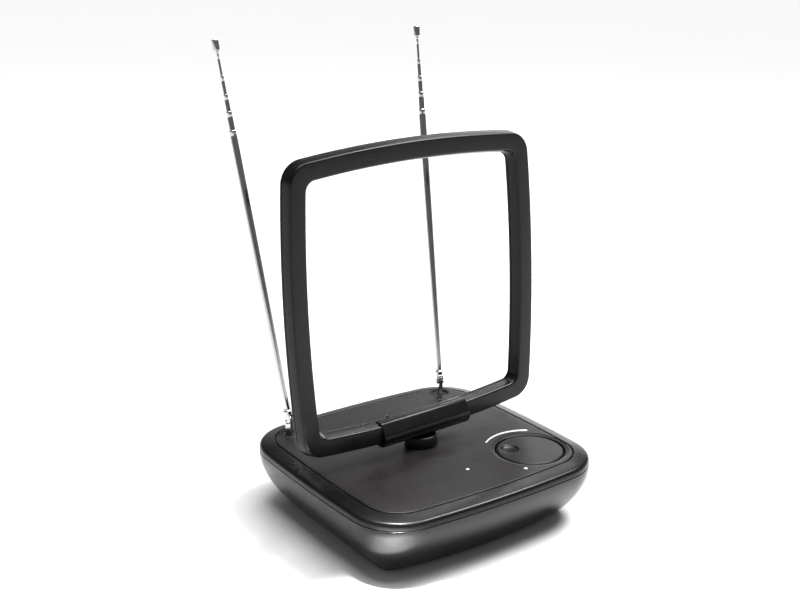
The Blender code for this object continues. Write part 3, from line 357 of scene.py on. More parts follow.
def add_relief(tree, shader, height, depth, strength=1.0):
    """Bumps the surface by a height of 0 to 1 times a depth, on top of any bump already there."""
    bump = add_node(tree, "ShaderNodeBump", {"Height": height, "Distance": depth,
                                             "Strength": strength})
    normal = shader.inputs["Normal"]
    if normal.is_linked:
        tree.links.new(normal.links[0].from_socket, bump.inputs["Normal"])
    tree.links.new(bump.outputs["Normal"], normal)


def moulded_plastic(name, dark, light, rough, grain, depth, **sockets):
    """Injection-moulded plastic: faint flow patches, a spark-eroded grain and uneven sheen."""
    material, tree, shader, where = new_material(name, dark, **sockets)
    vary_colour(tree, shader, where, light, 40 * MM)
    vary_roughness(tree, shader, where, *rough, 22 * MM)
    pits = add_node(tree, "ShaderNodeTexNoise",
                    {"Vector": where, "Scale": 1 / grain, "Detail": 2.0, "Roughness": 0.55})
    add_relief(tree, shader, pits.outputs["Fac"], depth)
    return material, tree, shader, where


def plated_metal(name, colour, rough, smear, draw=None):
    """Metal with finger smears in its gloss, and faint drawing lines where it was drawn."""
    material, tree, shader, where = new_material(name, colour, Metallic=1.0)
    vary_roughness(tree, shader, where, *rough, smear)
    if draw:
        stretch = add_node(tree, "ShaderNodeMapping", {"Vector": where, "Scale": draw})
        lines = add_node(tree, "ShaderNodeTexNoise",
                         {"Vector": stretch.outputs["Vector"], "Scale": 1 / (0.35 * MM)})
        add_relief(tree, shader, lines.outputs["Fac"], 0.004 * MM, 0.5)
    return material


# ---------------------------------------------------------------- materials

# On the black ABS the specular level is under the real 0.5, because the grain of a real moulding
# shadows itself and a bump doesn't.

# ABS moulded in a polished steel tool: near-black, mirror-like with a slight orange peel.
polished_abs, *_ = moulded_plastic(
    "polished_abs_black", "0b0b0c", "100f10", (0.13, 0.24), 2.4 * MM, 0.006 * MM, IOR=1.53,
    Specular_IOR_Level=0.4)

# ABS moulded in a finely spark-eroded tool: a soft satin sheen. The real grain is about 0.05 mm
# across, and it is drawn at 0.3 mm so that it shows.
satin_abs, *_ = moulded_plastic(
    "satin_abs_black", "0c0b0c", "141213", (0.24, 0.35), 0.32 * MM, 0.0018 * MM, IOR=1.53,
    Specular_IOR_Level=0.24)

# ABS moulded in a coarse spark-eroded tool: a dry, sparkling matt charcoal.
textured_abs, tree, shader, where = moulded_plastic(
    "textured_abs_charcoal", "161314", "1f1b1c", (0.32, 0.46), 0.55 * MM, 0.02 * MM, IOR=1.53,
    Specular_IOR_Level=0.3)
peaks = add_node(tree, "ShaderNodeTexNoise",
                 {"Vector": where, "Scale": 1 / (1.3 * MM), "Detail": 3.0})
add_relief(tree, shader, peaks.outputs["Fac"], 0.02 * MM, 0.7)

# ABS dial, face-turned in its tool: satin with fine rings round its middle.
dial_abs, tree, shader, where = moulded_plastic(
    "ring_turned_abs", "141213", "1b191a", (0.26, 0.36), 0.32 * MM, 0.0015 * MM, IOR=1.53,
    Specular_IOR_Level=0.35)
centred = add_node(tree, "ShaderNodeMapping",
                   {"Vector": where, "Location": (-DIAL_CENTRE[0], -DIAL_CENTRE[1], 0)})
split = add_node(tree, "ShaderNodeSeparateXYZ", {"Vector": centred.outputs["Vector"]})
flat = add_node(tree, "ShaderNodeCombineXYZ", {"X": split.outputs["X"], "Y": split.outputs["Y"]})
radius = add_node(tree, "ShaderNodeVectorMath", {0: flat.outputs["Vector"]}, operation="LENGTH")
rings = add_node(tree, "ShaderNodeMath",
                 {0: radius.outputs["Value"], 1: TURN / (0.55 * MM)}, operation="MULTIPLY")
wave = add_node(tree, "ShaderNodeMath", {0: rings.outputs["Value"]}, operation="SINE")
add_relief(tree, shader, wave.outputs["Value"], 0.003 * MM, 0.8)

# Acetal bush and power inlet: unpolished black, slightly waxy.
acetal, *_ = moulded_plastic(
    "acetal_black", "141414", "1c1b1b", (0.42, 0.55), 0.6 * MM, 0.01 * MM, IOR=1.48)

# Nitrile rubber feet: dull black with a dusty bloom.
nitrile, *_ = moulded_plastic(
    "nitrile_rubber", "111111", "1d1c1b", (0.72, 0.9), 0.5 * MM, 0.03 * MM, IOR=1.52)

# Milky polycarbonate light pipe, and the white tampon-printed ink beside the dial.
milky, *_ = moulded_plastic(
    "milky_polycarbonate", "d9dad8", "e6e7e6", (0.14, 0.24), 0.8 * MM, 0.002 * MM, IOR=1.58)
white_ink, *_ = moulded_plastic(
    "white_pad_ink", "d4d3d0", "e2e1df", (0.38, 0.5), 0.25 * MM, 0.004 * MM, IOR=1.5)

# Bright chrome over drawn brass tube, and over turned steel fittings.
chrome_tube = plated_metal("chrome_on_brass_tube", "d3d4d6", (0.05, 0.16), 9 * MM, (1, 1, 0.02))
chrome_turned = plated_metal("chrome_on_turned_steel", "cfd0d3", (0.07, 0.19), 4 * MM)
zinc = plated_metal("bright_zinc_on_steel", "b9bcc0", (0.28, 0.44), 3 * MM)
nickel = plated_metal("nickel_on_brass", "c3bdb0", (0.2, 0.34), 3 * MM)
bare_steel = plated_metal("turned_steel", "a3a4a6", (0.3, 0.46), 4 * MM)
hot_rolled = plated_metal("oiled_hot_rolled_steel", "6c6b6a", (0.42, 0.66), 12 * MM)
tinplate = plated_metal("folded_tinplate", "bfc0bf", (0.26, 0.42), 7 * MM)
brass = plated_metal("half_hard_brass", "c9a24f", (0.24, 0.4), 6 * MM)

# Glass-epoxy circuit board under green solder mask: the weave shows faintly through it.
board, tree, shader, where = new_material(
    "green_glass_epoxy", "0f4a22", Roughness=0.34, IOR=1.55)
vary_colour(tree, shader, where, "1a5c2c", 9 * MM)
vary_roughness(tree, shader, where, 0.26, 0.42, 5 * MM)
weave = add_node(tree, "ShaderNodeTexWave", {"Vector": where, "Scale": 1 / (3.2 * MM)})
add_relief(tree, shader, weave.outputs["Fac"], 0.004 * MM)

# ---------------------------------------------------------------- base

BOWL_INSET_X = 18.7 * MM
BOWL_INSET_Y = 19.7 * MM
BOWL_INSET = (BOWL_INSET_X + BOWL_INSET_Y) / 2
BOWL_POWER = 1.57
SHELL_WALL = 2 * MM
FLOOR = 3 * MM
RIM_CORNER, FLOOR_CORNER = 34 * MM, 8.2 * MM
SIDE_BOW, FLOOR_SIDE_BOW = 1057 * MM, 2604 * MM
FRONT_BOW, FLOOR_FRONT_BOW = 755 * MM, 333 * MM
RIM_ROLL = 2.9 * MM
PANEL_INSET = 10 * MM
GROOVE = 0.8 * MM


def rim_rings(profile):
    """The rim's outline drawn in by each inset, at each height, of an (inset, height) profile."""
    inset, height = np.array(profile).T
    outline = bowed_outline(HALF_WIDTH - inset, HALF_DEPTH - inset, SIDE_BOW - inset,
                            FRONT_BOW - inset, RIM_CORNER - inset)
    return np.dstack([outline, np.broadcast_to(height[:, None], outline.shape[:2])])


def bowl_rings(profile, wall=0.0):
    """Outlines that pass from the rim's shape to the floor's as the height falls.

    The drop goes from 0 at the seam to 1 at the floor. Each size is its rim value plus the drop
    times its change, and the inset of an (inset, height) profile is shared out to the two sides.
    """
    inset, height = np.array(profile).T
    drop = 1 - height / SEAM
    outline = bowed_outline(
        HALF_WIDTH - inset * BOWL_INSET_X / BOWL_INSET - wall,
        HALF_DEPTH - inset * BOWL_INSET_Y / BOWL_INSET - wall,
        SIDE_BOW + (FLOOR_SIDE_BOW - SIDE_BOW) * drop - wall,
        FRONT_BOW + (FLOOR_FRONT_BOW - FRONT_BOW) * drop - wall,
        RIM_CORNER + (FLOOR_CORNER - RIM_CORNER) * drop - wall)
    return np.dstack([outline, np.broadcast_to(height[:, None], outline.shape[:2])])


def cross_head(name, radius, dome, matrix):
    """A domed screw head with a cross recess, as a polar grid.

    The height is dome * (1 - (r / radius)^2), less a recess that falls off smoothly with the
    distance from the nearer arm of the cross.
    """
    rings = np.linspace(0, 1, 22)[1:, None] * radius
    angle = np.arange(96) * TURN / 96
    x, y = rings * np.cos(angle), rings * np.sin(angle)
    arm = np.minimum(np.abs(x), np.abs(y))
    slot = np.clip(1.6 - arm / (radius * 0.14), 0, 1) * np.clip(3 - rings / (radius * 0.21), 0, 1)
    z = dome * (1 - (rings / radius) ** 2) - slot * radius * 0.32
    top = np.stack([x, y, z], axis=-1)
    middle = np.broadcast_to([0, 0, dome - radius * 0.32], (1, 96, 3))
    skirt = np.stack([x[-1], y[-1], np.full(96, -radius * 0.4)], axis=-1)[None]
    base = np.stack([x[-1] * 0, y[-1] * 0, np.full(96, -radius * 0.4)], axis=-1)[None]
    return surface(name, place(np.concatenate([middle, top, skirt, base]), matrix), caps=False)


def along_back(node):
    """A socket in the back wall: a frame whose Z points back, half its width, and its ends in Y."""
    low, high = corners(node)
    middle = (low + high) / 2
    spot = axes_matrix((middle[0], 0, middle[2]), (1, 0, 0), (0, 1, 0))
    return spot, (high[0] - low[0]) / 2, low[1], high[1]


def make_housing():
    """The polished bowl: its wall draws in by BOWL_INSET times drop^BOWL_POWER below the seam."""
    drop = np.linspace(1, 0, 34)
    wall = np.stack([BOWL_INSET * drop**BOWL_POWER, SEAM * (1 - drop)], axis=1)
    foot = rounded([wall[1], wall[0], wall[0] + (3 * MM, 0)], [0, 1.3 * MM, 0], 5, closed=False)
    outer = np.concatenate([wall[:0:-1], foot[1:]])
    outer[0] += (0.25 * MM, 0)
    outer = np.insert(outer, 1, wall[-1] - (0, 0.25 * MM), axis=0)
    shelf = wall[wall[:, 1] > FLOOR + 1 * MM]
    inner = bowl_rings(np.concatenate([[[wall[0, 0] + 2 * MM, FLOOR]], shelf]), SHELL_WALL)
    grid = np.concatenate([inner, bowl_rings(outer)])
    bowl = surface("housing_bowl", grid)
    for node in FEET:
        spot, half, _, _ = upright_at(node)
        reach = half + 0.3 * MM
        carve(bowl, turned("pocket", [(0, 1 * MM), (reach, 1 * MM), (reach, -1 * MM), (0, -1 * MM)],
                           spot))
    head, shank = 3.2 * MM, 1.7 * MM
    for node in CASE_SCREWS:
        spot = upright_at(node)[0]
        carve(bowl, turned("screw_hole", [(0, 4 * MM), (shank, 4 * MM), (shank, 1.8 * MM),
                                          (head, 1.8 * MM), (head, -1 * MM), (0, -1 * MM)], spot))
    for node, extra in (("coax_socket", -1.6), ("power_inlet", -1.2)):
        spot, half, _, _ = along_back(node)
        reach = half + (extra + 0.3) * MM
        carve(bowl, turned("socket_hole", [(0, 60 * MM), (reach, 60 * MM), (reach, 95 * MM),
                                           (0, 95 * MM)], spot))
    finish(bowl, polished_abs, "base", "gloss_black_plastic", "base_housing")


def make_cover():
    """The satin bezel, as one closed profile of inset and height carried round the rim."""
    centre = (RIM_ROLL, RIM_TOP - RIM_ROLL)
    roll = arc(centre, RIM_ROLL, 180, 102, 14)
    low = SEAM + 0.3 * MM
    deck = PANEL_TOP - 2.5 * MM
    foot = rounded([(SHELL_WALL, low), (0, low), roll[0]], [0, 0.25 * MM, 0], 3, closed=False)
    ledge = PANEL_INSET + 4 * MM
    lip = rounded([roll[-1], (PANEL_INSET, PANEL_TOP), (PANEL_INSET, deck), (ledge, deck)],
                  [0, 0.45 * MM, 0.1 * MM, 0], 4, closed=False)
    under = [(ledge, deck - SHELL_WALL), (RIM_ROLL + 0.6 * MM, deck - SHELL_WALL)]
    profile = np.concatenate([foot[:-1], roll, lip[1:], under])
    cover = surface("cover_bezel", rim_rings(profile), wrap_rows=True)
    finish(cover, satin_abs, "base", "satin_black_plastic", "top_cover")


def make_panel():
    """The textured panel with a rounded edge, and a lipped well for the dial."""
    inset = PANEL_INSET + GROOVE
    under = PANEL_TOP - 2.2 * MM
    edge = rounded([(inset + 2 * MM, under), (inset, under), (inset, PANEL_TOP),
                    (inset + 3 * MM, PANEL_TOP)],
                   [0, 0.1 * MM, 0.5 * MM, 0], 5, closed=False)
    panel = surface("textured_panel", rim_rings(edge))
    well = DIAL_RADIUS + 0.6 * MM
    brim = well + 2.4 * MM
    lip = rounded([(well, PANEL_TOP - 5 * MM), (well, PANEL_TOP - 0.75 * MM),
                   (brim, PANEL_TOP - 0.25 * MM), (brim, PANEL_TOP + 1 * MM)],
                  [0, 0.5 * MM, 0, 0], 5, closed=False)
    low, high = PANEL_TOP - 5 * MM, PANEL_TOP + 1 * MM
    profile = [(0, low), *lip.tolist(), (0, high)]
    spot = Matrix.Translation((*DIAL_CENTRE, 0))
    carve(panel, turned("dial_well", profile, spot, 160))
    for name, (x, y), reach in (
        ("post_hole", POST_CENTRE, 7.35 * MM),
        ("lamp_hole", LAMP_CENTRE, 1.55 * MM),
        ("left_bush_hole", ROD_FEET["left"], 7.3 * MM),
        ("right_bush_hole", ROD_FEET["right"], 7.3 * MM),
    ):
        carve(panel, turned(name, [(0, high), (reach, high), (reach, low), (0, low)],
                            Matrix.Translation((x, y, 0))))
    finish(panel, textured_abs, "base", "matt_black_plastic", "top_panel")


def make_dial():
    """The dial: a flat face with a rounded rim and a spherical finger dimple.

    The face is lowered by depth times the square root of 1 - (d / reach)^2, where d is the
    distance from the dimple's middle, and the fall is eased near the dimple's rim.
    """
    chamfer = 1.4 * MM
    thick = 4 * MM
    hub, shaft = 5.5 * MM, 3.3 * MM
    face = np.linspace(0, DIAL_RADIUS - chamfer - 0.3 * MM, 80)[:, None] * (1, 0) + (0, DIAL_FACE)
    edge = [face[-1], (DIAL_RADIUS - chamfer, DIAL_FACE), (DIAL_RADIUS, DIAL_FACE - chamfer),
            (DIAL_RADIUS, DIAL_FACE - thick)]
    rim = rounded(edge, [0, 0.5 * MM, 0.4 * MM, 0], 4, closed=False)[1:-1]
    back = [(DIAL_RADIUS, DIAL_FACE - thick), (hub, DIAL_FACE - thick), (hub, DIAL_HUB_LOW),
            (shaft, DIAL_HUB_LOW), (shaft, DIAL_FACE - thick + 1 * MM),
            (0, DIAL_FACE - thick + 1 * MM)]
    profile = np.concatenate([face, rim, back])
    segments = 200
    angle = np.arange(segments) * TURN / segments
    x = profile[:, :1] * np.cos(angle) + DIAL_CENTRE[0]
    y = profile[:, :1] * np.sin(angle) + DIAL_CENTRE[1]
    z = np.repeat(profile[:, 1:], segments, axis=1)
    way, away, reach, depth = math.radians(141), 13.0 * MM, 6.2 * MM, 1.9 * MM
    dimple = DIAL_CENTRE + away * np.array([math.cos(way), math.sin(way)])
    near = np.hypot(x - dimple[0], y - dimple[1]) / reach
    bowl = np.clip(1 - near**2, 0, None)
    z[:len(face)] -= (depth * bowl**0.5 * np.clip(bowl * 6, 0, 1) ** 0.5)[:len(face)]
    dial = surface("gain_dial_face", np.stack([x, y, z], axis=-1), caps=False)
    finish(dial, dial_abs, "dial", "satin_black_plastic", "gain_dial", sharp=50)


def make_level_mark():
    """A printed wedge beside the dial, about 30 mm from its middle, that grows clockwise.

    Its middle line is an arc, and its half-width runs from thin to thick with the angle. The two
    ends are rounded by shrinking the half-width to nothing over the last few degrees.
    """
    first, last = 126.5, 52.5
    u = np.linspace(0, 1, 90)[:, None]
    angle = np.radians(first + (last - first) * u)
    round_end = np.sqrt(np.clip(1 - ((u - 0.5).clip(0) * 2 - 0.96).clip(0) ** 2 / 0.04**2, 0, 1))
    round_start = np.sqrt(np.clip(1 - (0.02 - u).clip(0) ** 2 / 0.02**2, 0, 1))
    half = (0.45 + 0.85 * u) * MM * round_end * round_start
    loop = np.array([(-1, 0), (-1, 1), (1, 1), (1, 0)])
    radius = 29.6 * MM + half * loop[:, 0]
    height = PANEL_TOP - 0.02 * MM + 0.07 * MM * loop[:, 1]
    grid = np.stack([DIAL_CENTRE[0] + radius * np.cos(angle),
                     DIAL_CENTRE[1] + radius * np.sin(angle),
                     np.broadcast_to(height, radius.shape)], axis=-1)
    mark = surface("level_mark", grid)
    finish(mark, white_ink, "base", "matt_black_plastic")


def make_printed_dot():
    """A small printed dot, 2.4 mm across, on the panel in front of the post."""
    middle = Matrix.Translation((0.9 * MM, -47.2 * MM, 0))
    reach, top, under = 1.2 * MM, PANEL_TOP + 0.05 * MM, PANEL_TOP - 0.02 * MM
    edge = rounded([(0, top), (reach, top), (reach, under), (0, under)],
                   [0, 0.03 * MM, 0, 0], 3, closed=False)
    finish(turned("printed_dot", edge, middle, 32), white_ink, "base", "matt_black_plastic")


def make_light_pipe():
    """The lamp's milky dome in the panel, with its pipe down to the lamp."""
    foot = corners("light_pipe")[0][2]
    middle = Matrix.Translation((*LAMP_CENTRE, 0))
    dome = arc((0, PANEL_TOP - 2.4 * MM), 2.65 * MM, 90, 62, 8)
    pipe, collar = 1.25 * MM, 2.15 * MM
    profile = [*dome.tolist(), (pipe, PANEL_TOP - 0.1 * MM), (pipe, 38.3 * MM),
               (collar, 38.3 * MM), (collar, 37.1 * MM), (pipe, 37.1 * MM),
               (pipe, foot), (0, foot)]
    finish(turned("milky_light_pipe", profile, middle, 40), milky, "base", "milky_lens",
           "light_pipe")


def make_feet_and_screws():
    """The rubber feet, dished underneath, and the case screws with their heads facing down.

    A screw's thread is a row of rings: its radius is 1.2 mm plus 0.12 mm times the sine of its
    height over a 1.1 mm pitch.
    """
    for node in FEET:
        spot, reach, low, high = upright_at(node)
        rim = rounded([(0, high[2]), (reach, high[2]), (reach, low[2]), (reach - 2.2 * MM, low[2]),
                       (reach - 2.8 * MM, low[2] + 0.4 * MM), (0, low[2] + 0.4 * MM)],
                      [0, 0.2 * MM, 0.7 * MM, 0.15 * MM, 0.15 * MM, 0], 4, closed=False)
        finish(turned(f"{node}_pad", rim, spot, 72), nitrile, "base", "black_rubber", node)
    for node in CASE_SCREWS:
        spot, reach, low, high = upright_at(node)
        under = spot @ Vector((0, 0, low[2] + 0.45 * MM))
        down = axes_matrix(under, (1, 0, 0), (0, 0, -1))
        head = cross_head(f"{node}_head", reach, 0.4 * MM, down)
        z = np.linspace(low[2] + 1.5 * MM, high[2] - 1.6 * MM, 60)
        thread = np.stack([1.2 * MM + 0.12 * MM * np.sin(z / (1.1 * MM) * TURN), z], axis=1)
        shank = [(0, z[0]), *thread.tolist(), (0, high[2])]
        piece = carve(head, turned("shank", shank, spot, 24), operation="UNION")
        finish(piece, zinc, "base", "zinc_plate", node, sharp=40)


def make_sockets():
    """The coaxial socket, whose thread is a helix, and the power inlet with its pin.

    The thread's radius is the root plus a triangle wave of height / pitch - angle / one turn.
    """
    spot, nut, inner, tip = along_back("coax_socket")
    outer, bore = 4.7 * MM, 1.9 * MM
    wall = tip - 9 * MM
    pitch, depth = 0.8 * MM, 0.42 * MM
    segments = 96
    angle = np.arange(segments) / segments
    y = np.linspace(tip - 0.5 * MM, wall - 4 * MM, 150)[:, None]
    wave = np.abs(((y / pitch - angle) % 1) * 2 - 1)
    fade = np.clip((tip - 0.5 * MM - y) / (0.5 * MM), 0, 1)
    thread = outer - depth * (wave * fade + (1 - fade))
    before = [(bore, inner), (bore, tip - 0.4 * MM), (bore + 0.4 * MM, tip),
              (outer - depth - 0.1 * MM, tip)]
    after = [(outer, wall - 5.2 * MM), (nut, wall - 5.2 * MM), (nut, inner)]
    radius = np.concatenate([np.repeat(np.array(before)[:, :1], segments, 1), thread,
                             np.repeat(np.array(after)[:, :1], segments, 1)])
    along = np.concatenate([np.array(before)[:, 1:], y, np.array(after)[:, 1:]])
    grid = np.stack([radius * np.cos(angle * TURN), radius * np.sin(angle * TURN),
                     np.broadcast_to(along, radius.shape)], axis=-1)
    socket = surface("threaded_coax_socket", place(grid, spot), wrap_rows=True, caps=False)
    finish(socket, nickel, "base", "nickel_plate", "coax_socket")

    insulator = turned("coax_insulator", [(0.45 * MM, tip - 3 * MM), (1.8 * MM, tip - 3 * MM),
                                          (1.8 * MM, tip - 6 * MM), (0.45 * MM, tip - 6 * MM)],
                       spot, 40, closed=True)
    finish(insulator, milky, "base", "milky_lens")

    spot, body, inner, tip = along_back("power_inlet")
    outer, bore, pin = 4 * MM, 1.8 * MM, 0.65 * MM
    profile = rounded(
        [(0, tip - 0.2 * MM), (pin, tip - 0.2 * MM), (pin, tip - 11 * MM), (bore, tip - 11 * MM),
         (bore, tip), (outer, tip), (outer, tip - 5.4 * MM), (body, tip - 5.4 * MM), (body, inner),
         (0, inner)],
        [0, 0.4 * MM, 0, 0, 0.4 * MM, 0.3 * MM, 0, 0, 0.2 * MM, 0], 4, closed=False)
    finish(turned("power_inlet_barrel", profile, spot, 64), acetal, "base", "matt_black_plastic",
           "power_inlet")


# ---------------------------------------------------------------- loop and its bracket

LEAN = math.radians(-3.3)
LOOP_HALF_WIDTH, LOOP_HALF_HEIGHT = 97.4 * MM, 96.7 * MM
LOOP_SIDE_BOW, LOOP_TOP_BOW = 983 * MM, 797 * MM
LOOP_CORNER, LOOP_INNER_CORNER = 15.2 * MM, 6.2 * MM
BAR_WIDTH, BAR_DEPTH = 15 * MM, 9.4 * MM
BAR_OUTER_SLANT, BAR_INNER_SLANT = 1.7 * MM, 2.2 * MM
PARTING = 2.4 * MM
SLEEVE_HALF = 35 * MM
SLEEVE_DEPTH, SLEEVE_HEIGHT = 17 * MM, 16.4 * MM
SLEEVE_WALL = 2.2 * MM

swivel_turn = math.atan2(joint("loop_tilt")["axis"][1], joint("loop_tilt")["axis"][0])
bracket_frame = Matrix.Translation(AXLE.tolist()) @ Matrix.Rotation(swivel_turn, 4, "Z")
loop_frame = bracket_frame @ Matrix.Rotation(LEAN, 4, "X")


def swept_loop(name, section):
    """A closed section of (inset, depth) points carried round the open loop, with flat ends.

    Each section point follows its own bowed outline, drawn in by its inset, from the right end of
    the bottom bar up and over to the left end. The corner's radius shrinks evenly with the inset.
    """
    inset, depth = section.T
    corner = LOOP_CORNER + (LOOP_INNER_CORNER - LOOP_CORNER) * inset / BAR_WIDTH
    sizes = (LOOP_HALF_WIDTH - inset, LOOP_HALF_HEIGHT - inset, LOOP_SIDE_BOW - inset,
             LOOP_TOP_BOW - inset, corner)
    gap = SLEEVE_HALF + 0.3 * MM
    upper = bowed_quarter(*sizes, side=26, bend=18)
    lower = bowed_quarter(*sizes, stop_x=gap, side=26, bend=18)[:, :0:-1] * (1, -1)
    right = np.concatenate([lower, upper], axis=1)
    path = np.concatenate([right, right[:, -2::-1] * (-1, 1)], axis=1)
    rise = LOOP_HALF_HEIGHT - BAR_WIDTH / 2
    grid = np.stack([path[..., 0], np.broadcast_to(depth[:, None], path.shape[:2]),
                     path[..., 1] + rise], axis=-1).transpose(1, 0, 2)
    return surface(name, place(grid, loop_frame))


def bar_sides(depth):
    """Insets of the bar's outer and inner side: the bar narrows evenly towards its front."""
    forward = (BAR_DEPTH / 2 - depth) / BAR_DEPTH
    return BAR_OUTER_SLANT * forward, BAR_WIDTH - BAR_INNER_SLANT * forward


def make_loop():
    """The loop's shells: a channel that opens backwards, and a flat lid behind the parting line.

    Both are sections in (inset, depth), and both lie between the bar's two slanted sides.
    """
    front, back = -BAR_DEPTH / 2, BAR_DEPTH / 2
    (outer_front, inner_front), (outer_part, inner_part) = bar_sides(front), bar_sides(PARTING)
    wall = 1.6 * MM
    shell = rounded(
        [(outer_part, PARTING), (outer_front, front), (inner_front, front), (inner_part, PARTING),
         (inner_part - wall, PARTING), (inner_front - wall, front + wall),
         (outer_front + wall, front + wall), (outer_part + wall, PARTING)],
        [0.25 * MM, 1.5 * MM, 1.7 * MM, 0.25 * MM, 0, 0.3 * MM, 0.3 * MM, 0], 6)
    finish(swept_loop("loop_front_shell", shell), satin_abs, "loop", "satin_black_plastic",
           "loop_front_frame")
    outer, inner = bar_sides(PARTING + 0.3 * MM)
    lid = rounded([(outer, PARTING + 0.3 * MM), (inner, PARTING + 0.3 * MM), (BAR_WIDTH, back),
                   (0, back)],
                  [0.25 * MM, 0.25 * MM, 0.9 * MM, 0.9 * MM], 5)
    finish(swept_loop("loop_rear_shell", lid), satin_abs, "loop", "satin_black_plastic",
           "loop_rear_frame")


def make_bracket():
    """The sleeve's two halves, the post under them, and the two screws at the back.

    Each half is its section of (depth, height) points carried along the axle. The front is
    rounded at its top, the rear keeps a flat seat for its screws, and both turn in underneath.
    """
    front, top = SLEEVE_DEPTH / 2, SLEEVE_HEIGHT / 2
    sideways = bracket_frame @ axes_matrix((0, 0, 0), (0, -1, 0), (1, 0, 0))
    inside = top - SLEEVE_WALL
    end = SLEEVE_HALF - SLEEVE_WALL
    reach = SLEEVE_HALF + 1 * MM
    bore = 2.75 * MM
    for name, facing, roll, node in (("sleeve_front_half", 1, 6.3 * MM, "sleeve_front"),
                                     ("sleeve_rear_half", -1, 1.2 * MM, "sleeve_rear")):
        outline = rounded(
            [(0.15 * MM, -top), (front * 0.36, -top), (front, -top * 0.1), (front, top),
             (0.15 * MM, top)],
            [0, 2.5 * MM, 6.5 * MM, roll, 0], 9, closed=False) * (facing, 1)
        half = extruded(name, outline, -SLEEVE_HALF, SLEEVE_HALF, sideways)
        soften(half, 0.45 * MM, 3, 50)
        for radius, low, high in ((bore, end, reach), (bore, -reach, -end), (inside, -end, end)):
            carve(half, turned("hollow", [(0, low), (radius, low), (radius, high), (0, high)],
                               sideways))
        finish(half, satin_abs, "loop_bracket", "satin_black_plastic", node)

    low = corners("sleeve_rear")[0][2]
    foot = PANEL_TOP + 0.3 * MM
    neck = AXLE[2] - top - 0.05 * MM
    collar, stem, bore = 11 * MM, 7 * MM, 1.9 * MM
    profile = rounded([(0, neck), (10.2 * MM, neck), (collar, foot), (stem, foot), (stem, low),
                       (bore, low), (bore, low + 2 * MM), (0, low + 2 * MM)],
                      [0, 1.1 * MM, 0.5 * MM, 0, 0.3 * MM, 0, 0, 0], 5, closed=False)
    post = turned("round_post", profile, Matrix.Translation((*POST_CENTRE, 0)), 96)
    finish(post, satin_abs, "loop_bracket", "satin_black_plastic", "sleeve_rear")

    for node in ("sleeve_screw_left", "sleeve_screw_right"):
        low, high = extent(node, bracket_frame)
        spot = ((low[0] + high[0]) / 2, front + 0.05 * MM, (low[2] + high[2]) / 2 - 0.4 * MM)
        matrix = bracket_frame @ axes_matrix(spot, (1, 0, 0), (0, 1, 0))
        head = cross_head(f"{node}_head", 1.35 * MM, 0.25 * MM, matrix)
        finish(head, zinc, "loop_bracket", "zinc_plate", node, sharp=40)


# ---------------------------------------------------------------- telescopic rods

TUBE_RADII = np.array([2.5, 2.05, 1.62, 1.2, 0.8]) * MM
TIP_RADIUS = 2.4 * MM
KNUCKLE_RADIUS = 3.2 * MM
PIN_RADIUS = 0.9 * MM


def length_along(node, matrix):
    """Where a node starts and ends along its rod."""
    return (corner[2] for corner in extent(node, matrix))


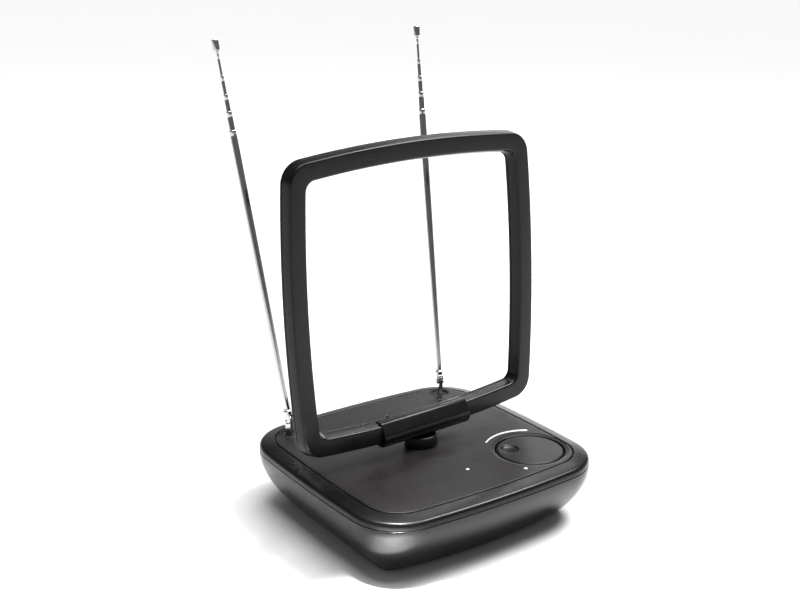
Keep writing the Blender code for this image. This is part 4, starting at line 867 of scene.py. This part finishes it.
def make_rod(side):
    """One rod: five tubes and a tip, the knuckle and rivet at its foot, the stud and its bush.

    Every piece is a profile turned about the rod's line or about the swivel's, but for the
    knuckle's slot and the stud's tongue, which are flat outlines carried straight across.
    """
    swivel, tilt = joint(f"rod_swivel_{side}"), joint(f"rod_tilt_{side}")
    slide = joint(f"rod_slide_2_{side}")
    pivot = tilt["pos_m"]
    across = tilt["axis"]
    rod = axes_matrix(pivot, across, slide["axis"])
    upright = axes_matrix(swivel["pos_m"][:2] + [0], across, (0, 0, 1))
    body = f"rod_{side}"

    # Tubes: each mouth is rolled in over the next tube, and each bore is that tube plus clearance.
    for number, radius in enumerate(TUBE_RADII, 1):
        node = f"rod_tube_{number}_{side}"
        low, high = length_along(node, rod)
        mouth = 0.34 * radius
        last = number == len(TUBE_RADII)
        roll = arc((radius - mouth, high - mouth), mouth, 0, 90, 6)
        crimp = [(radius, low), (radius, high - 4.2 * MM), (radius - 0.1 * MM, high - 3.9 * MM),
                 (radius - 0.1 * MM, high - 3.4 * MM), (radius, high - 3.1 * MM)]
        outer = crimp + roll.tolist()
        if last:
            profile = [(0, low)] + outer + [(0, high)]
        else:
            bore = TUBE_RADII[number] + 0.13 * MM
            profile = outer + [(bore, high), (bore, low)]
        tube = turned(f"drawn_tube_{number}_{side}", profile, rod, 48, closed=not last)
        rider = body if number == 1 else f"section_{number}_{side}"
        finish(tube, chrome_tube, rider, "chrome_plate", node, sharp=40)

    low, high = length_along(f"rod_tip_{side}", rod)
    neck = 1.35 * MM
    tip = rounded([(0, low), (neck, low), (neck, low + 1 * MM), (TIP_RADIUS, low + 1.4 * MM),
                   (TIP_RADIUS, high), (0, high)],
                  [0, 0.2 * MM, 0.1 * MM, 0.3 * MM, 0.6 * MM, 0], 5, closed=False)
    finish(turned(f"tip_cap_{side}", tip, rod, 48), chrome_turned, f"section_5_{side}",
           "chrome_plate", f"rod_tip_{side}")

    # Knuckle: a turned barrel with a collar, slotted across to straddle the tongue.
    top = 7.7 * MM
    spigot, collar = TUBE_RADII[1] - 0.05 * MM, TUBE_RADII[0] + 0.15 * MM
    barrel = rounded(
        [(0, top + 3 * MM), (spigot, top + 3 * MM), (spigot, top), (collar, top),
         (collar, top - 0.9 * MM), (KNUCKLE_RADIUS, top - 1.5 * MM),
         (KNUCKLE_RADIUS, -1.7 * MM), (KNUCKLE_RADIUS * 0.7, -2.7 * MM), (0, -2.7 * MM)],
        [0, 0.3 * MM, 0, 0.2 * MM, 0.1 * MM, 0.5 * MM, 0.6 * MM, 0.3 * MM, 0], 5, closed=False)
    knuckle = turned(f"forked_knuckle_{side}", barrel, rod, 64)
    slot = np.array([(-1.75, -4), (1.75, -4), (1.75, 3.8), (-1.75, 3.8)]) * MM
    crosswise = rod @ axes_matrix((0, 0, 0), (1, 0, 0), (0, -1, 0))
    carve(knuckle, extruded("slot", slot, -5 * MM, 5 * MM, crosswise))
    finish(knuckle, chrome_turned, body, "chrome_plate", f"rod_knuckle_{side}", sharp=38)

    end = 3.4 * MM
    pin = rounded([(0, -end), (PIN_RADIUS, -end), (PIN_RADIUS, end), (0, end)],
                  [0, 0.3 * MM, 0.3 * MM, 0], 4, closed=False)
    pin_frame = rod @ axes_matrix((0, 0, 0), (0, 0, -1), (1, 0, 0))
    finish(turned(f"knuckle_rivet_{side}", pin, pin_frame, 32), bare_steel, body, "plain_steel",
           f"rod_rivet_{side}")

    # Stud: a round stem in the bush with a flat, round-ended tongue standing on it.
    stem, top, low = 2.6 * MM, PANEL_TOP - 1.7 * MM, 33.8 * MM
    stud = rounded([(0, top), (stem, top), (stem, low), (0, low)],
                   [0, 0.4 * MM, 0.2 * MM, 0], 4, closed=False)
    stud = turned(f"swivel_stud_{side}", stud, upright, 64)
    eye, root = arc((0, pivot[2]), 2.6 * MM, 0, 180, 24), PANEL_TOP - 2.3 * MM
    tongue = np.concatenate([eye, [(-2.4 * MM, root), (2.4 * MM, root)]])
    flat = upright @ axes_matrix((0, 0, 0), (0, 1, 0), (1, 0, 0))
    plate = extruded("tongue", tongue, -1.4 * MM, 1.4 * MM, flat)
    soften(plate, 0.3 * MM, 2)
    carve(stud, plate, operation="UNION")
    finish(stud, chrome_turned, f"rod_stud_{side}", "chrome_plate", f"rod_stud_{side}", sharp=38)

    # Bush: dished so that the knuckle has room, with a flange on the panel.
    dish, shoulder, low = PANEL_TOP - 1.4 * MM, PANEL_TOP - 2.2 * MM, 37.1 * MM
    bore, barrel, flange = 2.95 * MM, 6 * MM, 7 * MM
    bush = rounded(
        [(bore, dish), (5.6 * MM, dish), (6.1 * MM, PANEL_TOP), (flange, PANEL_TOP),
         (flange, shoulder), (barrel, shoulder), (barrel, low), (bore, low)],
        [0, 0.2 * MM, 0.2 * MM, 0.3 * MM, 0, 0, 0.2 * MM, 0], 4)
    finish(turned(f"dished_bush_{side}", bush, upright, 72, closed=True), acetal, "base",
           "matt_black_plastic", f"rod_bush_{side}")


# ---------------------------------------------------------------- assembly

make_housing()
make_cover()
make_panel()
make_dial()
make_level_mark()
make_printed_dot()
make_light_pipe()
make_feet_and_screws()
make_sockets()
make_loop()
make_bracket()
for side in SIDES:
    make_rod(side)

for node, material in {
    "ballast_plate": hot_rolled, "circuit_board": board, "amplifier_shield": tinplate,
    "gain_potentiometer": tinplate, "indicator_lamp": milky, "gain_shaft": brass,
    "loop_conductor": brass, "tilt_axle": bare_steel, "tilt_washer_left": bare_steel,
    "tilt_washer_right": bare_steel, "post_retaining_ring": bare_steel,
    "stud_clip_left": bare_steel, "stud_clip_right": bare_steel,
}.items():
    for material_slot in frame["nodes"][node].material_slots:
        material_slot.material = material

# ---------------------------------------------------------------- floor, light and camera


def make_floor():
    """A pale floor that reaches far behind the object, level with the feet."""
    size = 60.0
    mesh = bpy.data.meshes.new("studio_floor")
    level = corners(FEET[0])[0][2] - 0.05 * MM
    mesh.from_pydata([(-size, -size, level), (size, -size, level), (size, size, level),
                      (-size, size, level)], [], [(0, 1, 2, 3)])
    floor = link("studio_floor", mesh)
    paper, tree, shader, where = new_material("matt_white_paper", "f7f7f6", Roughness=0.8)
    vary_roughness(tree, shader, where, 0.7, 0.9, 60 * MM)
    mesh.materials.append(paper)


def aimed(direction):
    """The turn that points a light or a camera along a direction."""
    return Vector(direction).to_track_quat("-Z", "Y").to_euler()


def add_softbox(name, position, target, width, height, power):
    """A rectangular soft light at a position, turned to face a target."""
    data = bpy.data.lights.new(name, "AREA")
    data.shape = "RECTANGLE"
    data.size, data.size_y = width, height
    data.energy = power
    light = link(name, data)
    light.location = position
    light.rotation_euler = aimed(Vector(target) - Vector(position))
    light.visible_camera = False


make_floor()
middle = (0, 0, 120 * MM)
sky = bpy.data.lights.new("overhead_diffuser", "SUN")
sky.energy, sky.angle = 2.9, math.radians(44)
link("overhead_diffuser", sky).rotation_euler = aimed((-0.1, 0, -1))
add_softbox("key_softbox", (0.68, -0.12, 1.15), middle, 0.42, 0.42, 17)
add_softbox("low_back_softbox", (1.5, 1.25, 0.3), middle, 0.9, 0.5, 3.5)
add_softbox("back_softbox", (1.1, 1.57, 0.62), middle, 1.3, 0.45, 1.4)
add_softbox("rim_softbox", (0.97, 0.81, 1.14), middle, 0.5, 0.5, 3)

# A pool of light on the paper at the nearest corner, which the polished bowl reflects.
pool = bpy.data.lights.new("corner_pool", "SPOT")
pool.energy, pool.spot_size, pool.spot_blend = 560, math.radians(5.2), 1.0
pool.shadow_soft_size = 0.03
link("corner_pool", pool).location = (-0.101, -0.104, 0.9)

# The room is dim above and fades to pale at the floor's far edge, as a studio sweep does.
world = bpy.data.worlds.new("studio")
bpy.context.scene.world = world
world.use_nodes = True
sweep = world.node_tree
background = sweep.nodes["Background"]
way = add_node(sweep, "ShaderNodeTexCoord")
rise = add_node(sweep, "ShaderNodeSeparateXYZ", {"Vector": way.outputs["Generated"]})
fade = add_node(sweep, "ShaderNodeMapRange", {
    "Value": rise.outputs["Z"], "From Min": 0.0, "From Max": 0.16, "To Min": 0.9, "To Max": 0.14},
    interpolation_type="SMOOTHSTEP")
sweep.links.new(fade.outputs["Result"], background.inputs["Strength"])
background.inputs["Color"].default_value = linear("ffffff")
bpy.context.scene.view_settings.view_transform = "Standard"

CAMERA_AT = np.array([-434.0, -593.2, 379.3]) * MM
CAMERA_AZIMUTH = math.radians(-35.05)
CAMERA_DIP = math.radians(17.87)
camera_data = bpy.data.cameras.new("camera")
camera_data.lens = 54.93
camera_data.sensor_width = 36
camera = link("camera", camera_data)
camera.location = CAMERA_AT
camera.rotation_euler = aimed((
    -math.sin(CAMERA_AZIMUTH) * math.cos(CAMERA_DIP),
    math.cos(CAMERA_AZIMUTH) * math.cos(CAMERA_DIP), -math.sin(CAMERA_DIP)))
bpy.context.scene.camera = camera
